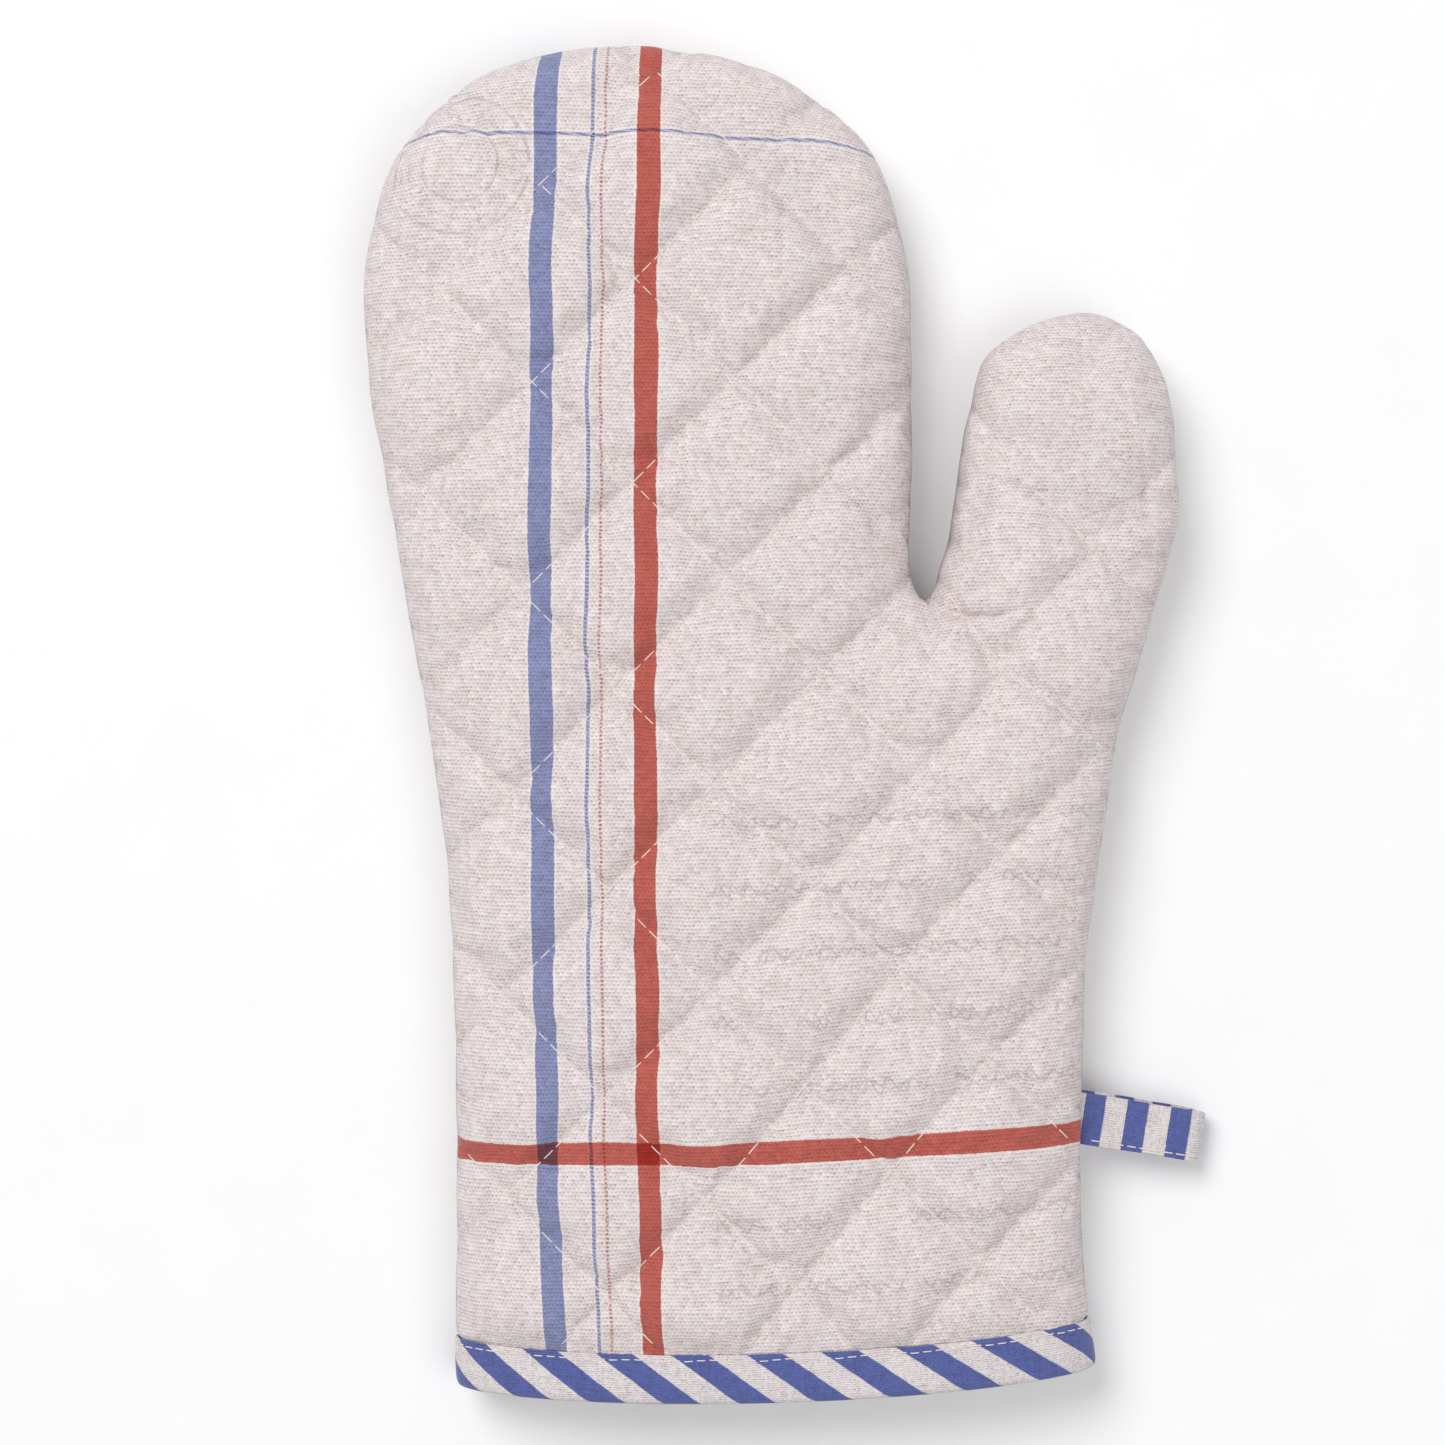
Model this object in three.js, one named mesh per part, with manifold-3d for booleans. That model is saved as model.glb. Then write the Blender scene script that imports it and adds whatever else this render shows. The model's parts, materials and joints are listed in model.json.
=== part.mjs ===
// A quilted cotton oven mitt, lying flat on a table with its fingers towards +Y.
//
// Two quilted panels, front (upwards) and back (on the table), are each made of a printed cover, a wadding
// and a lining, and are sewn together along the side seam. A striped bias tape binds the raw edges of the
// cuff, and a loop of the same striped cloth is caught in the side seam, where it swings.
//
// Units are millimetres. +Z is up, the table is z = 0, and the origin is the centre of the footprint.

import * as THREE from 'three';
import { mergeGeometries, mergeVertices } from 'three/addons/utils/BufferGeometryUtils.js';
import Module from 'manifold-3d';

const wasm = await Module();
wasm.setup();

// ---------------------------------------------------------------------------------- driving dimensions

// The side seam, from the left of the cuff round the fingers, the crotch and the thumb to the right of the
// cuff. It starts and ends below the cuff, where the mitt is cut off.
const SEAM_LINE = [
  [-73.4, -190], [-73.4, -120], [-73.6, -75], [-75.5, -32], [-80.5, 5], [-87.3, 45], [-92.6, 77], [-93.9, 97],
  [-91.6, 113], [-85.2, 127.4], [-74, 138.8], [-57.5, 147.1], [-32.7, 150], [-9, 146], [7.6, 136.9],
  [19.4, 123.9], [25.7, 106], [27.6, 84], [27.2, 41], [27.5, 34], [28.6, 29.3], [30.4, 27.6], [32.2, 29.3],
  [33.8, 34], [35.6, 42], [38.4, 60], [42, 77],
  [49.4, 86.2], [58, 90], [67, 90.6], [77, 86.5], [83.6, 76], [86.4, 61], [85.9, 43], [81.4, 25], [75.4, 5],
  [70.6, -20], [66.8, -48], [65.2, -80], [65.2, -110], [66.8, -130], [70.4, -190],
].map(([x, y]) => new THREE.Vector2(x, y));

const SEAM_Z = 11; // height of the side seam above the table
const FRONT_RISE = 17; // from the seam up to the flat top of the front panel
const BACK_DROP = SEAM_Z; // from the seam down to the flat underside of the back panel
const EDGE_WIDTH = 11.5; // how far in from the seam the rounded edge of a panel reaches
const SIDE_WALL = 1.5; // upright stretch of a panel next to the seam
const EDGE_FACETS = 3; // facets across a rounded edge
const GAP = 0.3; // clearance between two pieces that touch on the real mitt

// Depth of each layer below the outer surface: [from, to].
const COVER = [0, 1.0];
const WADDING = [1.3, 5.0];
const LINING = [5.3, 6.0];
// Under the binding the quilting is pressed thin, between the outer and the inner leg of the tape.
const BOUND_COVER = [1.3, 2.3];
const BOUND_WADDING = [2.6, 3.7];
const BOUND_LINING = [4.0, 4.7];
const OUTER_LEG = [0, 1.0];
const INNER_LEG = [5.0, 6.0];

// The edge of the cuff is an arc, lowest at CUFF_X.
const CUFF_X = -20;
const CUFF_Y = -150;
const CUFF_RADIUS = 590;
const BINDING_HEIGHT = 11;
const BINDING_FOLD = 1.0; // thickness of the tape where it folds round the raw edges
const TOPSTITCH_FROM_EDGE = 1.6;
const STEP_FROM = BINDING_HEIGHT + GAP; // where the cover and the lining go down under the tape
const STEP_TO = STEP_FROM + 1.6;
const OVERLAP = 0.5; // by which two joined stretches of one layer share material

const THREAD = 0.4; // thickness of a sewing thread
const THREAD_SUNK = 0.05; // how far a thread lies below the cloth's surface
const SEAM_GROOVE = 0.5; // half the opening between the two covers, where the seam's thread lies

// The quilting is two sets of parallel lines, square to each other. Each panel is cut from the quilted cloth
// with one crossing of them here.
const FRONT_CROSSING = [-37.5, 6.8];
const BACK_CROSSING = [-36.6, 7.9];
const QUILT_ANGLE = 45.5; // degrees from +X to the lines of the first set
const PATCH = [32.8, 29.7]; // from line to line along the first set, and across it
const PATCHES_EACH_WAY = 6; // from the crossing to past the ends of the mitt
const THUMB_CORNER = [45, 35]; // the lines right of and above this are the thumb's own

// The loop is a tape folded end to end and caught in the seam at LOOP_Y.
const LOOP_Y = -88;
const LOOP_SEAM_X = 65.2; // the side seam at the loop
const LOOP_LENGTH = 27.4; // from the hinge line to the fold
const LOOP_WIDTH = 11.3;
const LOOP_TILT = -9.7; // degrees in the loop's own plane, from square to the seam
const LOOP_TAPE = 1.1; // thickness of the tape
const LOOP_STITCH_FROM_EDGE = 1.2;
const LOOP_ROOT = 1.3; // half thickness where the two ends lie together
const LOOP_EYE = 3.2; // half height of the eye at the fold
const LOOP_OPENS_AT = 3; // where the two layers part, from the hinge line

const SIZE = 600; // larger than the mitt: the size of the blocks that cut it

// ---------------------------------------------------------------------------------- solids and booleans

function solidFrom(geometry) {
  const bare = geometry.index ? geometry.toNonIndexed() : geometry.clone();
  bare.deleteAttribute('normal');
  bare.deleteAttribute('uv');
  const merged = mergeVertices(bare, 1e-4);
  return new wasm.Manifold(new wasm.Mesh({
    numProp: 3,
    vertProperties: new Float32Array(merged.attributes.position.array),
    triVerts: new Uint32Array(merged.index.array),
  }));
}

function geometryFrom(solid) {
  const { vertProperties, triVerts } = solid.getMesh();
  const geometry = new THREE.BufferGeometry();
  geometry.setAttribute('position', new THREE.BufferAttribute(new Float32Array(vertProperties), 3));
  geometry.setIndex(new THREE.BufferAttribute(new Uint32Array(triVerts), 1));
  geometry.computeVertexNormals();
  return geometry;
}

// Everything between two heights.
function slab(zLow, zHigh) {
  return solidFrom(new THREE.BoxGeometry(SIZE, SIZE, zHigh - zLow).translate(0, 0, (zLow + zHigh) / 2));
}

const frontOnly = (gap) => slab(SEAM_Z + gap, SIZE);
const backOnly = (gap) => slab(-SIZE, SEAM_Z - gap);

// ---------------------------------------------------------------------------------- the mitt's envelope

// The unit normal that points into the mitt from the seam between two of its points.
function inwardNormal(from, to) {
  const along = to.clone().sub(from).normalize();
  return new THREE.Vector2(along.y, -along.x);
}

// The seam line as a closed shape, with each side moved inwards by the same distance.
function insetShape(inset) {
  const count = SEAM_LINE.length;
  return new THREE.Shape(SEAM_LINE.map((point, i) => {
    const before = inwardNormal(SEAM_LINE[(i + count - 1) % count], point);
    const after = inwardNormal(point, SEAM_LINE[(i + 1) % count]);
    const mitre = before.clone().add(after).divideScalar(1 + before.dot(after));
    return point.clone().addScaledVector(mitre, inset);
  }));
}

const FLAT_SHAPE = insetShape(EDGE_WIDTH);

// A rounded pad: the flat shape with an edge that bulges out to the seam, lying between two heights.
function pad(depth, height) {
  return new THREE.ExtrudeGeometry(FLAT_SHAPE, {
    depth: 2 * SIDE_WALL,
    bevelThickness: height - SIDE_WALL - depth,
    bevelSize: EDGE_WIDTH - depth,
    bevelSegments: EDGE_FACETS,
  });
}

// The mitt's envelope, in from its outer surface by a depth. The front and the back bulge by different
// amounts, and overlap each other a little at the seam.
function envelope(depth) {
  const front = pad(depth, FRONT_RISE).translate(0, 0, SEAM_Z - SIDE_WALL);
  const back = pad(depth, BACK_DROP).translate(0, 0, SEAM_Z - SIDE_WALL);
  return solidFrom(front).intersect(frontOnly(-1)).add(solidFrom(back).intersect(backOnly(-1)));
}

const shell = ([from, to]) => envelope(from).subtract(envelope(to));

// Everything on the finger side of the cuff's edge, moved up by a height.
function aboveCuff(height) {
  const radius = CUFF_RADIUS - height;
  const centreY = CUFF_Y + CUFF_RADIUS;
  const half = 0.2; // radians, a little more than the width of the cuff
  const arc = new THREE.Shape();
  arc.absarc(CUFF_X, centreY, radius, -Math.PI / 2 - half, -Math.PI / 2 + half, false);
  arc.lineTo(SIZE / 2, centreY);
  arc.lineTo(-SIZE / 2, centreY);
  const block = new THREE.ExtrudeGeometry(arc, { depth: SIZE, bevelEnabled: false, curveSegments: 10 });
  return solidFrom(block.translate(0, 0, -SIZE / 2));
}

// The part of a solid between two heights above the cuff's edge.
const band = (solid, low, high) => solid.intersect(aboveCuff(low)).subtract(aboveCuff(high));

// ---------------------------------------------------------------------------------- the quilted panels

// A layer of a panel: its full thickness above the binding, and its pressed thickness under it.
function panelLayer(half, layer, boundLayer, openFrom) {
  const open = shell(layer).intersect(aboveCuff(openFrom));
  const bound = band(shell(boundLayer), BINDING_FOLD + GAP, openFrom + OVERLAP);
  return open.add(bound).intersect(half);
}

// The step by which a cover or a lining goes down under the tape.
function step(half, from, to) {
  return band(shell([from, to]), STEP_FROM, STEP_TO).intersect(half);
}

// The cloth between the quilting lines: patches parted by a width, tall enough to cut through any panel.
function quiltPatches(crossing, width) {
  const patches = [];
  for (let i = -PATCHES_EACH_WAY; i < PATCHES_EACH_WAY; i += 1) {
    for (let j = -PATCHES_EACH_WAY; j < PATCHES_EACH_WAY; j += 1) {
      const patch = new THREE.BoxGeometry(PATCH[0] - width, PATCH[1] - width, SIZE);
      patches.push(patch.translate((i + 0.5) * PATCH[0], (j + 0.5) * PATCH[1], 0));
    }
  }
  const all = mergeGeometries(patches).rotateZ(THREE.MathUtils.degToRad(QUILT_ANGLE));
  return solidFrom(all.translate(crossing[0], crossing[1], 0));
}

// The thumb's quilting doesn't reach the rest, because the crotch parts them.
function thumbBlock() {
  const block = new THREE.BoxGeometry(SIZE, SIZE, SIZE);
  return solidFrom(block.translate(THUMB_CORNER[0] + SIZE / 2, THUMB_CORNER[1] + SIZE / 2, 0));
}

// The quilting is cut off where a panel's edge starts to round, and at the binding.
function flatPart(margin, zLow, zHigh) {
  const options = { depth: zHigh - zLow, bevelEnabled: false };
  const flat = new THREE.ExtrudeGeometry(insetShape(EDGE_WIDTH + margin), options);
  return solidFrom(flat.translate(0, 0, zLow)).intersect(aboveCuff(STEP_TO + margin));
}

// The channel that the quilting presses into a cover, and the thread that lies in it.
function quilting(crossing, surfaceZ, inwards) {
  const net = (width, from, to, margin) => {
    const ends = [surfaceZ + inwards * from, surfaceZ + inwards * to];
    return flatPart(margin, Math.min(...ends), Math.max(...ends)).subtract(quiltPatches(crossing, width));
  };
  return {
    channel: net(THREAD + 2 * GAP, -1, THREAD_SUNK + THREAD + GAP, 0),
    thread: net(THREAD, THREAD_SUNK, THREAD_SUNK + THREAD, GAP),
  };
}

// ---------------------------------------------------------------------------------- cuff and seam

function cuffBinding() {
  const legs = shell(OUTER_LEG).add(shell(INNER_LEG));
  const fold = shell([OUTER_LEG[0], INNER_LEG[1]]);
  const groove = band(shell([-1, THREAD_SUNK + THREAD + GAP]),
    BINDING_HEIGHT - TOPSTITCH_FROM_EDGE - THREAD - GAP, BINDING_HEIGHT - TOPSTITCH_FROM_EDGE + GAP);
  return band(legs, 0, BINDING_HEIGHT).add(band(fold, 0, BINDING_FOLD)).subtract(groove);
}

function cuffTopstitch() {
  return band(shell([THREAD_SUNK, THREAD_SUNK + THREAD]),
    BINDING_HEIGHT - TOPSTITCH_FROM_EDGE - THREAD, BINDING_HEIGHT - TOPSTITCH_FROM_EDGE);
}

// The thread of the side seam lies between the two covers.
function seamThread() {
  const line = shell([GAP, GAP + THREAD]).intersect(slab(SEAM_Z - THREAD / 2, SEAM_Z + THREAD / 2));
  return line.intersect(aboveCuff(STEP_TO));
}

// ---------------------------------------------------------------------------------- the hanging loop

// The side view of a folded tape, or of its eye, with the hinge line at the origin and the fold at +X. It is
// straight from its start to where the layers part, and then opens out like a drop.
function dropShape(start, depth) {
  const rootHalf = LOOP_ROOT - depth;
  const half = LOOP_EYE + LOOP_TAPE - depth;
  const round = LOOP_LENGTH - LOOP_EYE - LOOP_TAPE;
  const near = LOOP_OPENS_AT + (round - LOOP_OPENS_AT) * 0.4;
  const far = LOOP_OPENS_AT + (round - LOOP_OPENS_AT) * 0.6;
  const shape = new THREE.Shape();
  shape.moveTo(start, -rootHalf);
  shape.lineTo(LOOP_OPENS_AT, -rootHalf);
  shape.bezierCurveTo(near, -rootHalf, far, -half, round, -half);
  shape.absarc(round, 0, half, -Math.PI / 2, Math.PI / 2, false);
  shape.bezierCurveTo(far, half, near, rootHalf, LOOP_OPENS_AT, rootHalf);
  shape.lineTo(start, rootHalf);
  return shape;
}

// The side view made solid across the tape's width, between two distances from the middle of the tape.
function dropSolid(start, depth, low, high) {
  const shape = dropShape(start, depth);
  const block = new THREE.ExtrudeGeometry(shape, { depth: high - low, bevelEnabled: false, curveSegments: 5 })
    .rotateX(Math.PI / 2)
    .translate(0, high, 0)
    .rotateZ(THREE.MathUtils.degToRad(LOOP_TILT));
  return solidFrom(block);
}

// The folded tape and its edge stitch, lying along +X. The root is a roll of cloth along the hinge line.
function loopPieces() {
  const outside = (depth, low, high) => dropSolid(-LOOP_WIDTH, depth, low, high);
  const inside = (depth) => outside(depth, -SIZE, SIZE);
  const edge = LOOP_WIDTH / 2;
  const low = LOOP_STITCH_FROM_EDGE - edge - THREAD / 2;
  const high = low + THREAD;
  const stitch = outside(THREAD_SUNK, low, high).subtract(inside(THREAD_SUNK + THREAD));
  const groove = outside(-1, low - GAP, high + GAP).subtract(inside(THREAD_SUNK + THREAD + GAP));
  const beyondHinge = solidFrom(new THREE.BoxGeometry(SIZE, SIZE, SIZE).translate(SIZE / 2, 0, 0));
  const rollLength = LOOP_WIDTH / Math.cos(THREE.MathUtils.degToRad(LOOP_TILT));
  const roll = solidFrom(new THREE.CylinderGeometry(LOOP_ROOT, LOOP_ROOT, rollLength, 12));
  const eye = dropSolid(LOOP_OPENS_AT - GAP, LOOP_TAPE, -SIZE, SIZE);
  const tape = outside(0, -edge, edge).intersect(beyondHinge).add(roll).subtract(eye);
  return { tape: tape.subtract(groove), stitch: stitch.intersect(beyondHinge) };
}

// ---------------------------------------------------------------------------------- materials

const linen = new THREE.MeshStandardMaterial({ color: 0xdad0cf, roughness: 0.95, metalness: 0 });
const plainCotton = new THREE.MeshStandardMaterial({ color: 0xe6dfd2, roughness: 0.95, metalness: 0 });
const fleece = new THREE.MeshStandardMaterial({ color: 0xf0eee8, roughness: 1, metalness: 0 });
const striped = new THREE.MeshStandardMaterial({ color: 0x5d6fb0, roughness: 0.9, metalness: 0 });
const sewingThread = new THREE.MeshStandardMaterial({ color: 0xefe6dc, roughness: 0.7, metalness: 0 });

// ---------------------------------------------------------------------------------- assembly

const mitt = new THREE.Group();

function addPiece(group, name, solid, material) {
  const mesh = new THREE.Mesh(geometryFrom(solid), material);
  mesh.name = name;
  group.add(mesh);
}

function addPanel(side, half, crossing, surfaceZ, inwards) {
  const quilted = quilting(crossing, surfaceZ, inwards);
  const coverStep = step(half(SEAM_GROOVE), COVER[0], BOUND_COVER[1]);
  const liningStep = step(half(GAP / 2), BOUND_LINING[0], LINING[1]);
  const cover = panelLayer(half(SEAM_GROOVE), COVER, BOUND_COVER, STEP_FROM).add(coverStep);
  const wadding = panelLayer(half(GAP / 2), WADDING, BOUND_WADDING, STEP_TO + GAP);
  const lining = panelLayer(half(GAP / 2), LINING, BOUND_LINING, STEP_FROM).add(liningStep);
  addPiece(mitt, `${side}_cover`, cover.subtract(quilted.channel), linen);
  addPiece(mitt, `${side}_wadding`, wadding, fleece);
  addPiece(mitt, `${side}_lining`, lining, plainCotton);
  addPiece(mitt, `${side}_quilting_thread`, quilted.thread.subtract(thumbBlock()), sewingThread);
  addPiece(mitt, `${side}_thumb_thread`, quilted.thread.intersect(thumbBlock()), sewingThread);
}

addPanel('front', frontOnly, FRONT_CROSSING, SEAM_Z + FRONT_RISE, -1);
addPanel('back', backOnly, BACK_CROSSING, SEAM_Z - BACK_DROP, 1);
addPiece(mitt, 'side_seam_thread', seamThread(), sewingThread);
addPiece(mitt, 'cuff_binding', cuffBinding(), striped);
addPiece(mitt, 'cuff_topstitch', cuffTopstitch(), sewingThread);

// The loop hangs from the seam until its fold lies on the table.
const hinge = new THREE.Group();
hinge.position.set(LOOP_SEAM_X + LOOP_ROOT + GAP, LOOP_Y, SEAM_Z);
const foldDrop = SEAM_Z - LOOP_EYE - LOOP_TAPE - GAP;
hinge.rotation.y = Math.asin(foldDrop / (LOOP_LENGTH - LOOP_EYE - LOOP_TAPE));
const { tape, stitch } = loopPieces();
addPiece(hinge, 'hanging_loop', tape, striped);
addPiece(hinge, 'loop_edge_stitch', stitch, sewingThread);
mitt.add(hinge);

export default mitt;
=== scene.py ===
"""A quilted oven mitt with striped binding and hanging loop, lying on a pale floor.

Lengths are in millimetres until a mesh is made, which turns them into metres.
"""

import json
import math

import bmesh
import bpy
import numpy as np
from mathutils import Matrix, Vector, noise
from mathutils.bvhtree import BVHTree
from mathutils.geometry import delaunay_2d_cdt
from mathutils.kdtree import KDTree


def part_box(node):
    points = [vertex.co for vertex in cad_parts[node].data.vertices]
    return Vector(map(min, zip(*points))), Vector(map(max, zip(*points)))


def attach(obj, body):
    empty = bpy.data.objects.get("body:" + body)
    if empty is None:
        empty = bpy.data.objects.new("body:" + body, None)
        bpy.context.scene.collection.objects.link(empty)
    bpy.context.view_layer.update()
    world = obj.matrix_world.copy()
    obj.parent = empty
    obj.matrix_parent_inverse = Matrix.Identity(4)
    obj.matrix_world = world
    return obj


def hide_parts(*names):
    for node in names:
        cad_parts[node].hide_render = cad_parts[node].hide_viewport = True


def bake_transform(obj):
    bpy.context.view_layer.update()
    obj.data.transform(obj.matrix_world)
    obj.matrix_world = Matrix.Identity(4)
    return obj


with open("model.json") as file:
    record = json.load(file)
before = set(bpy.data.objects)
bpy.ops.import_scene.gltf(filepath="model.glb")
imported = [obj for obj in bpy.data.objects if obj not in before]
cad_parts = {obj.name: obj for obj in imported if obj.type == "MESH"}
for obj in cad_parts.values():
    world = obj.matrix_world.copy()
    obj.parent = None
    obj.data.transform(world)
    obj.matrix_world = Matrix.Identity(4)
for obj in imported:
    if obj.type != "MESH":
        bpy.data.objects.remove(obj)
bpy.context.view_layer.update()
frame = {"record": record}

MM = 0.001

# ------------------------------------------------------------------------------------------ dimensions

HINGE = np.array(frame["record"]["behaviour"]["joints"][0]["pos_m"]) / MM
SEAM_Z = HINGE[2]
TOP_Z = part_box("front_cover")[1][2] / MM
TABLE_Z = 0.0

# The side seam, from the cuff's left round the fingers, the crotch and the thumb to the cuff's right.
SEAM_POINTS = [
    (-72.8, -156), (-73.6, -137), (-73.4, -115), (-73.4, -95), (-73.7, -73), (-74.4, -50), (-76, -27),
    (-79.2, -4), (-84, 24), (-88.7, 51.5), (-92.4, 71.4), (-93.6, 86), (-93.9, 98), (-92.4, 109),
    (-89.2, 119.6), (-84.4, 128), (-77.4, 136), (-66.4, 143.7), (-51.5, 148.6), (-35, 150), (-18.5, 148.1),
    (-4.5, 144.2), (6.5, 137.8), (14.6, 131), (20.1, 123.4), (23.6, 114.8), (26, 104.6), (27.3, 95),
    (27.6, 80), (27.6, 58), (27.1, 42), (27.4, 34), (28.6, 29.2), (30.4, 27.6), (32.1, 29.4), (33.6, 34),
    (35.4, 40.4), (37.3, 51.5), (39.3, 64.8), (42.1, 76.6), (44.3, 81.4), (49.2, 85.2), (56.4, 88.9),
    (65.9, 90.7), (73.8, 88.6), (79.2, 84.2), (83, 77.4), (85.3, 69.5), (86.4, 58), (86.4, 45), (84.4, 35.4),
    (81.2, 24.4), (77.2, 10), (73.4, -3), (70.4, -22), (67.8, -40), (66.2, -55), (65.5, -75), (65.1, -100),
    (65.5, -116), (66.7, -130), (68.3, -142), (69.6, -156),
]
CUFF_LOW = (-20.0, -149.2)  # the lowest point of the cuff's edge, which is an arc
CUFF_RADIUS = 590.0

FRONT_RISE = 14.0  # from the seam to the stitching level at the middle of the front panel
BACK_DROP = 9.7
FRONT_PUFF = 2.35  # how far the quilted patches stand out from the stitching
BACK_PUFF = 1.6
FRONT_REACH = 40.0  # how far in from the seam a panel goes on rising
BACK_REACH = 23.0
PROFILE_POWER = 2.5

# Quilting lines. The falling lines are x + y = constant, the rising ones x - y = constant.
FALLING_LINES = [114.0, 63.5, 18.4, -29.9, -75.9, -122.4, -165.4, -212.0]
RISING_LINES = [-172.2, -130.4, -86.4, -45.0, -2.5, 42.0, 86.4, 128.5, 171.0, 214.0]
THUMB_SHIFT = (-8.8, -9.2)  # how far the lines are moved on the thumb
CELLS = 21  # mesh squares from one quilting line to the next

BINDING_HEIGHT = 10.9
BINDING_PRESS = 1.0  # how far the panels are pressed in under the tape
CLOTH = 0.5  # thickness of the cover's cloth
LINING = 0.35  # thickness of the lining's cloth
RING_ROWS = [0.9, 1.7, 2.7, 3.9, 5.2, 6.5, 7.9, 9.3, 10.7]  # mesh rows beside the seam, by distance from it
STITCH_SHARES = np.array([0.0, 0.12, 0.35, 0.65, 0.88, 1.0])  # where along a stitch its points are


# ------------------------------------------------------------------------------------------ small tools

def smoothstep(low, high, x):
    t = np.clip((x - low) / (high - low), 0.0, 1.0)
    return t * t * (3.0 - 2.0 * t)


def unit(v):
    return v / np.maximum(np.linalg.norm(v, axis=-1, keepdims=True), 1e-9)


def left_of(line):
    """The unit vectors that point to the left of a flat line, at each of its points."""
    along = unit(np.gradient(line, axis=0))
    return np.column_stack([-along[:, 1], along[:, 0]])


def wave(x, y, scale, seed):
    """Smooth noise from -1 to 1 at each (x, y)."""
    spots = zip(np.ravel(x) / scale, np.ravel(y) / scale)
    return np.array([noise.noise(Vector((a, b, seed * 7.31))) for a, b in spots]).reshape(np.shape(x))


def smooth_line(points, spacing):
    """A Catmull-Rom curve through the points, with a point about every `spacing`."""
    pts = np.array(points, float)
    pts = np.vstack([2 * pts[0] - pts[1], pts, 2 * pts[-1] - pts[-2]])
    out = []
    for a, b, c, d in zip(pts, pts[1:], pts[2:], pts[3:]):
        steps = max(1, int(round(np.linalg.norm(c - b) / spacing)))
        t = (np.arange(steps) / steps)[:, None]
        out.append(0.5 * (2 * b + (c - a) * t + (2 * a - 5 * b + 4 * c - d) * t**2
                          + (3 * b - a - 3 * c + d) * t**3))
    out.append(pts[-2][None])
    return np.vstack(out)


def new_object(name, verts_mm, faces, material, uv=None):
    """An object from vertices in millimetres. uv holds a cloth coordinate for each vertex, in millimetres."""
    mesh = bpy.data.meshes.new(name)
    mesh.from_pydata((np.asarray(verts_mm) * MM).tolist(), [], [list(map(int, f)) for f in faces])
    if uv is not None:
        layer = mesh.uv_layers.new(name="Cloth")
        corners = np.zeros(len(mesh.loops), dtype=np.int32)
        mesh.loops.foreach_get("vertex_index", corners)
        layer.data.foreach_set("uv", np.asarray(uv)[corners].astype(np.float32).ravel())
    mesh.materials.append(material)
    mesh.validate()
    mesh.update()
    mesh.shade_smooth()
    obj = bpy.data.objects.new(name, mesh)
    bpy.context.scene.collection.objects.link(obj)
    return obj


def apply_modifiers(obj):
    """Replaces the object's mesh by what its modifiers make of it."""
    evaluated = obj.evaluated_get(bpy.context.evaluated_depsgraph_get())
    mesh = bpy.data.meshes.new_from_object(evaluated)
    old = obj.data
    obj.modifiers.clear()
    obj.data = mesh
    bpy.data.meshes.remove(old)
    mesh.name = obj.name


def smooth_out(obj, levels):
    """Rounds a closed mesh by subdividing it, and turns its faces outwards."""
    smoother = obj.modifiers.new("Smooth", "SUBSURF")
    smoother.levels = smoother.render_levels = levels
    apply_modifiers(obj)
    mesh = bmesh.new()
    mesh.from_mesh(obj.data)
    bmesh.ops.recalc_face_normals(mesh, faces=mesh.faces[:])
    mesh.to_mesh(obj.data)
    mesh.free()


def vertex_normals(verts, faces):
    normals = np.zeros_like(verts)
    for size in (3, 4):
        idx = np.array([f for f in faces if len(f) == size])
        if len(idx) == 0:
            continue
        a = verts[idx[:, 2]] - verts[idx[:, 0]]
        b = verts[idx[:, -1]] - verts[idx[:, 1]]
        cross = np.cross(a, b)
        for column in range(size):
            np.add.at(normals, idx[:, column], cross)
    return unit(normals)


def neighbour_mean(values, edges, count):
    total = np.zeros_like(values)
    number = np.zeros(count)
    for i, j in ((0, 1), (1, 0)):
        np.add.at(total, edges[:, i], values[edges[:, j]])
        np.add.at(number, edges[:, i], 1)
    return total / np.maximum(number, 1).reshape((-1,) + (1,) * (values.ndim - 1))


def edges_of(faces):
    return np.array(sorted({tuple(sorted((f[i], f[i - 1]))) for f in faces for i in range(len(f))}))


def boundary_loop(faces):
    """The vertices round the open edge of a mesh, in order."""
    directed = {(f[i - 1], f[i]) for f in faces for i in range(len(f))}
    following = {a: b for a, b in directed if (b, a) not in directed}
    start = min(following)
    loop = [start]
    while following[loop[-1]] != start:
        loop.append(following[loop[-1]])
    return loop


def faces_between(rings, size, closed=False):
    """Faces between neighbouring rings of `size` points, and if closed from the last ring to the first."""
    faces = []
    for r in range(rings if closed else rings - 1):
        a, b = r * size, (r + 1) % rings * size
        faces += [(a + s, a + (s + 1) % size, b + (s + 1) % size, b + s) for s in range(size)]
    return faces


def tube(path, radius, sides=6):
    """Vertices and faces of a closed tube along a path, thinner at its two ends."""
    path = np.asarray(path, float)
    along = unit(np.gradient(path, axis=0))
    across = unit(np.cross(along, [0.0, 0.0, 1.0]) + 1e-6)
    up = np.cross(across, along)
    thickness = np.full(len(path), radius)
    thickness[[0, -1]] *= 0.55
    turns = np.linspace(0, 2 * math.pi, sides, endpoint=False)
    rings = path[:, None] + thickness[:, None, None] * (
        np.cos(turns)[None, :, None] * across[:, None] + np.sin(turns)[None, :, None] * up[:, None])
    last = (len(path) - 1) * sides
    faces = faces_between(len(path), sides)
    faces += [tuple(range(sides))[::-1], tuple(range(last, last + sides))]
    return rings.reshape(-1, 3), faces


def run_along(points):
    """The distance along a line to each of its points."""
    return np.r_[0, np.cumsum(np.linalg.norm(np.diff(points, axis=0), axis=1))]


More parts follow.
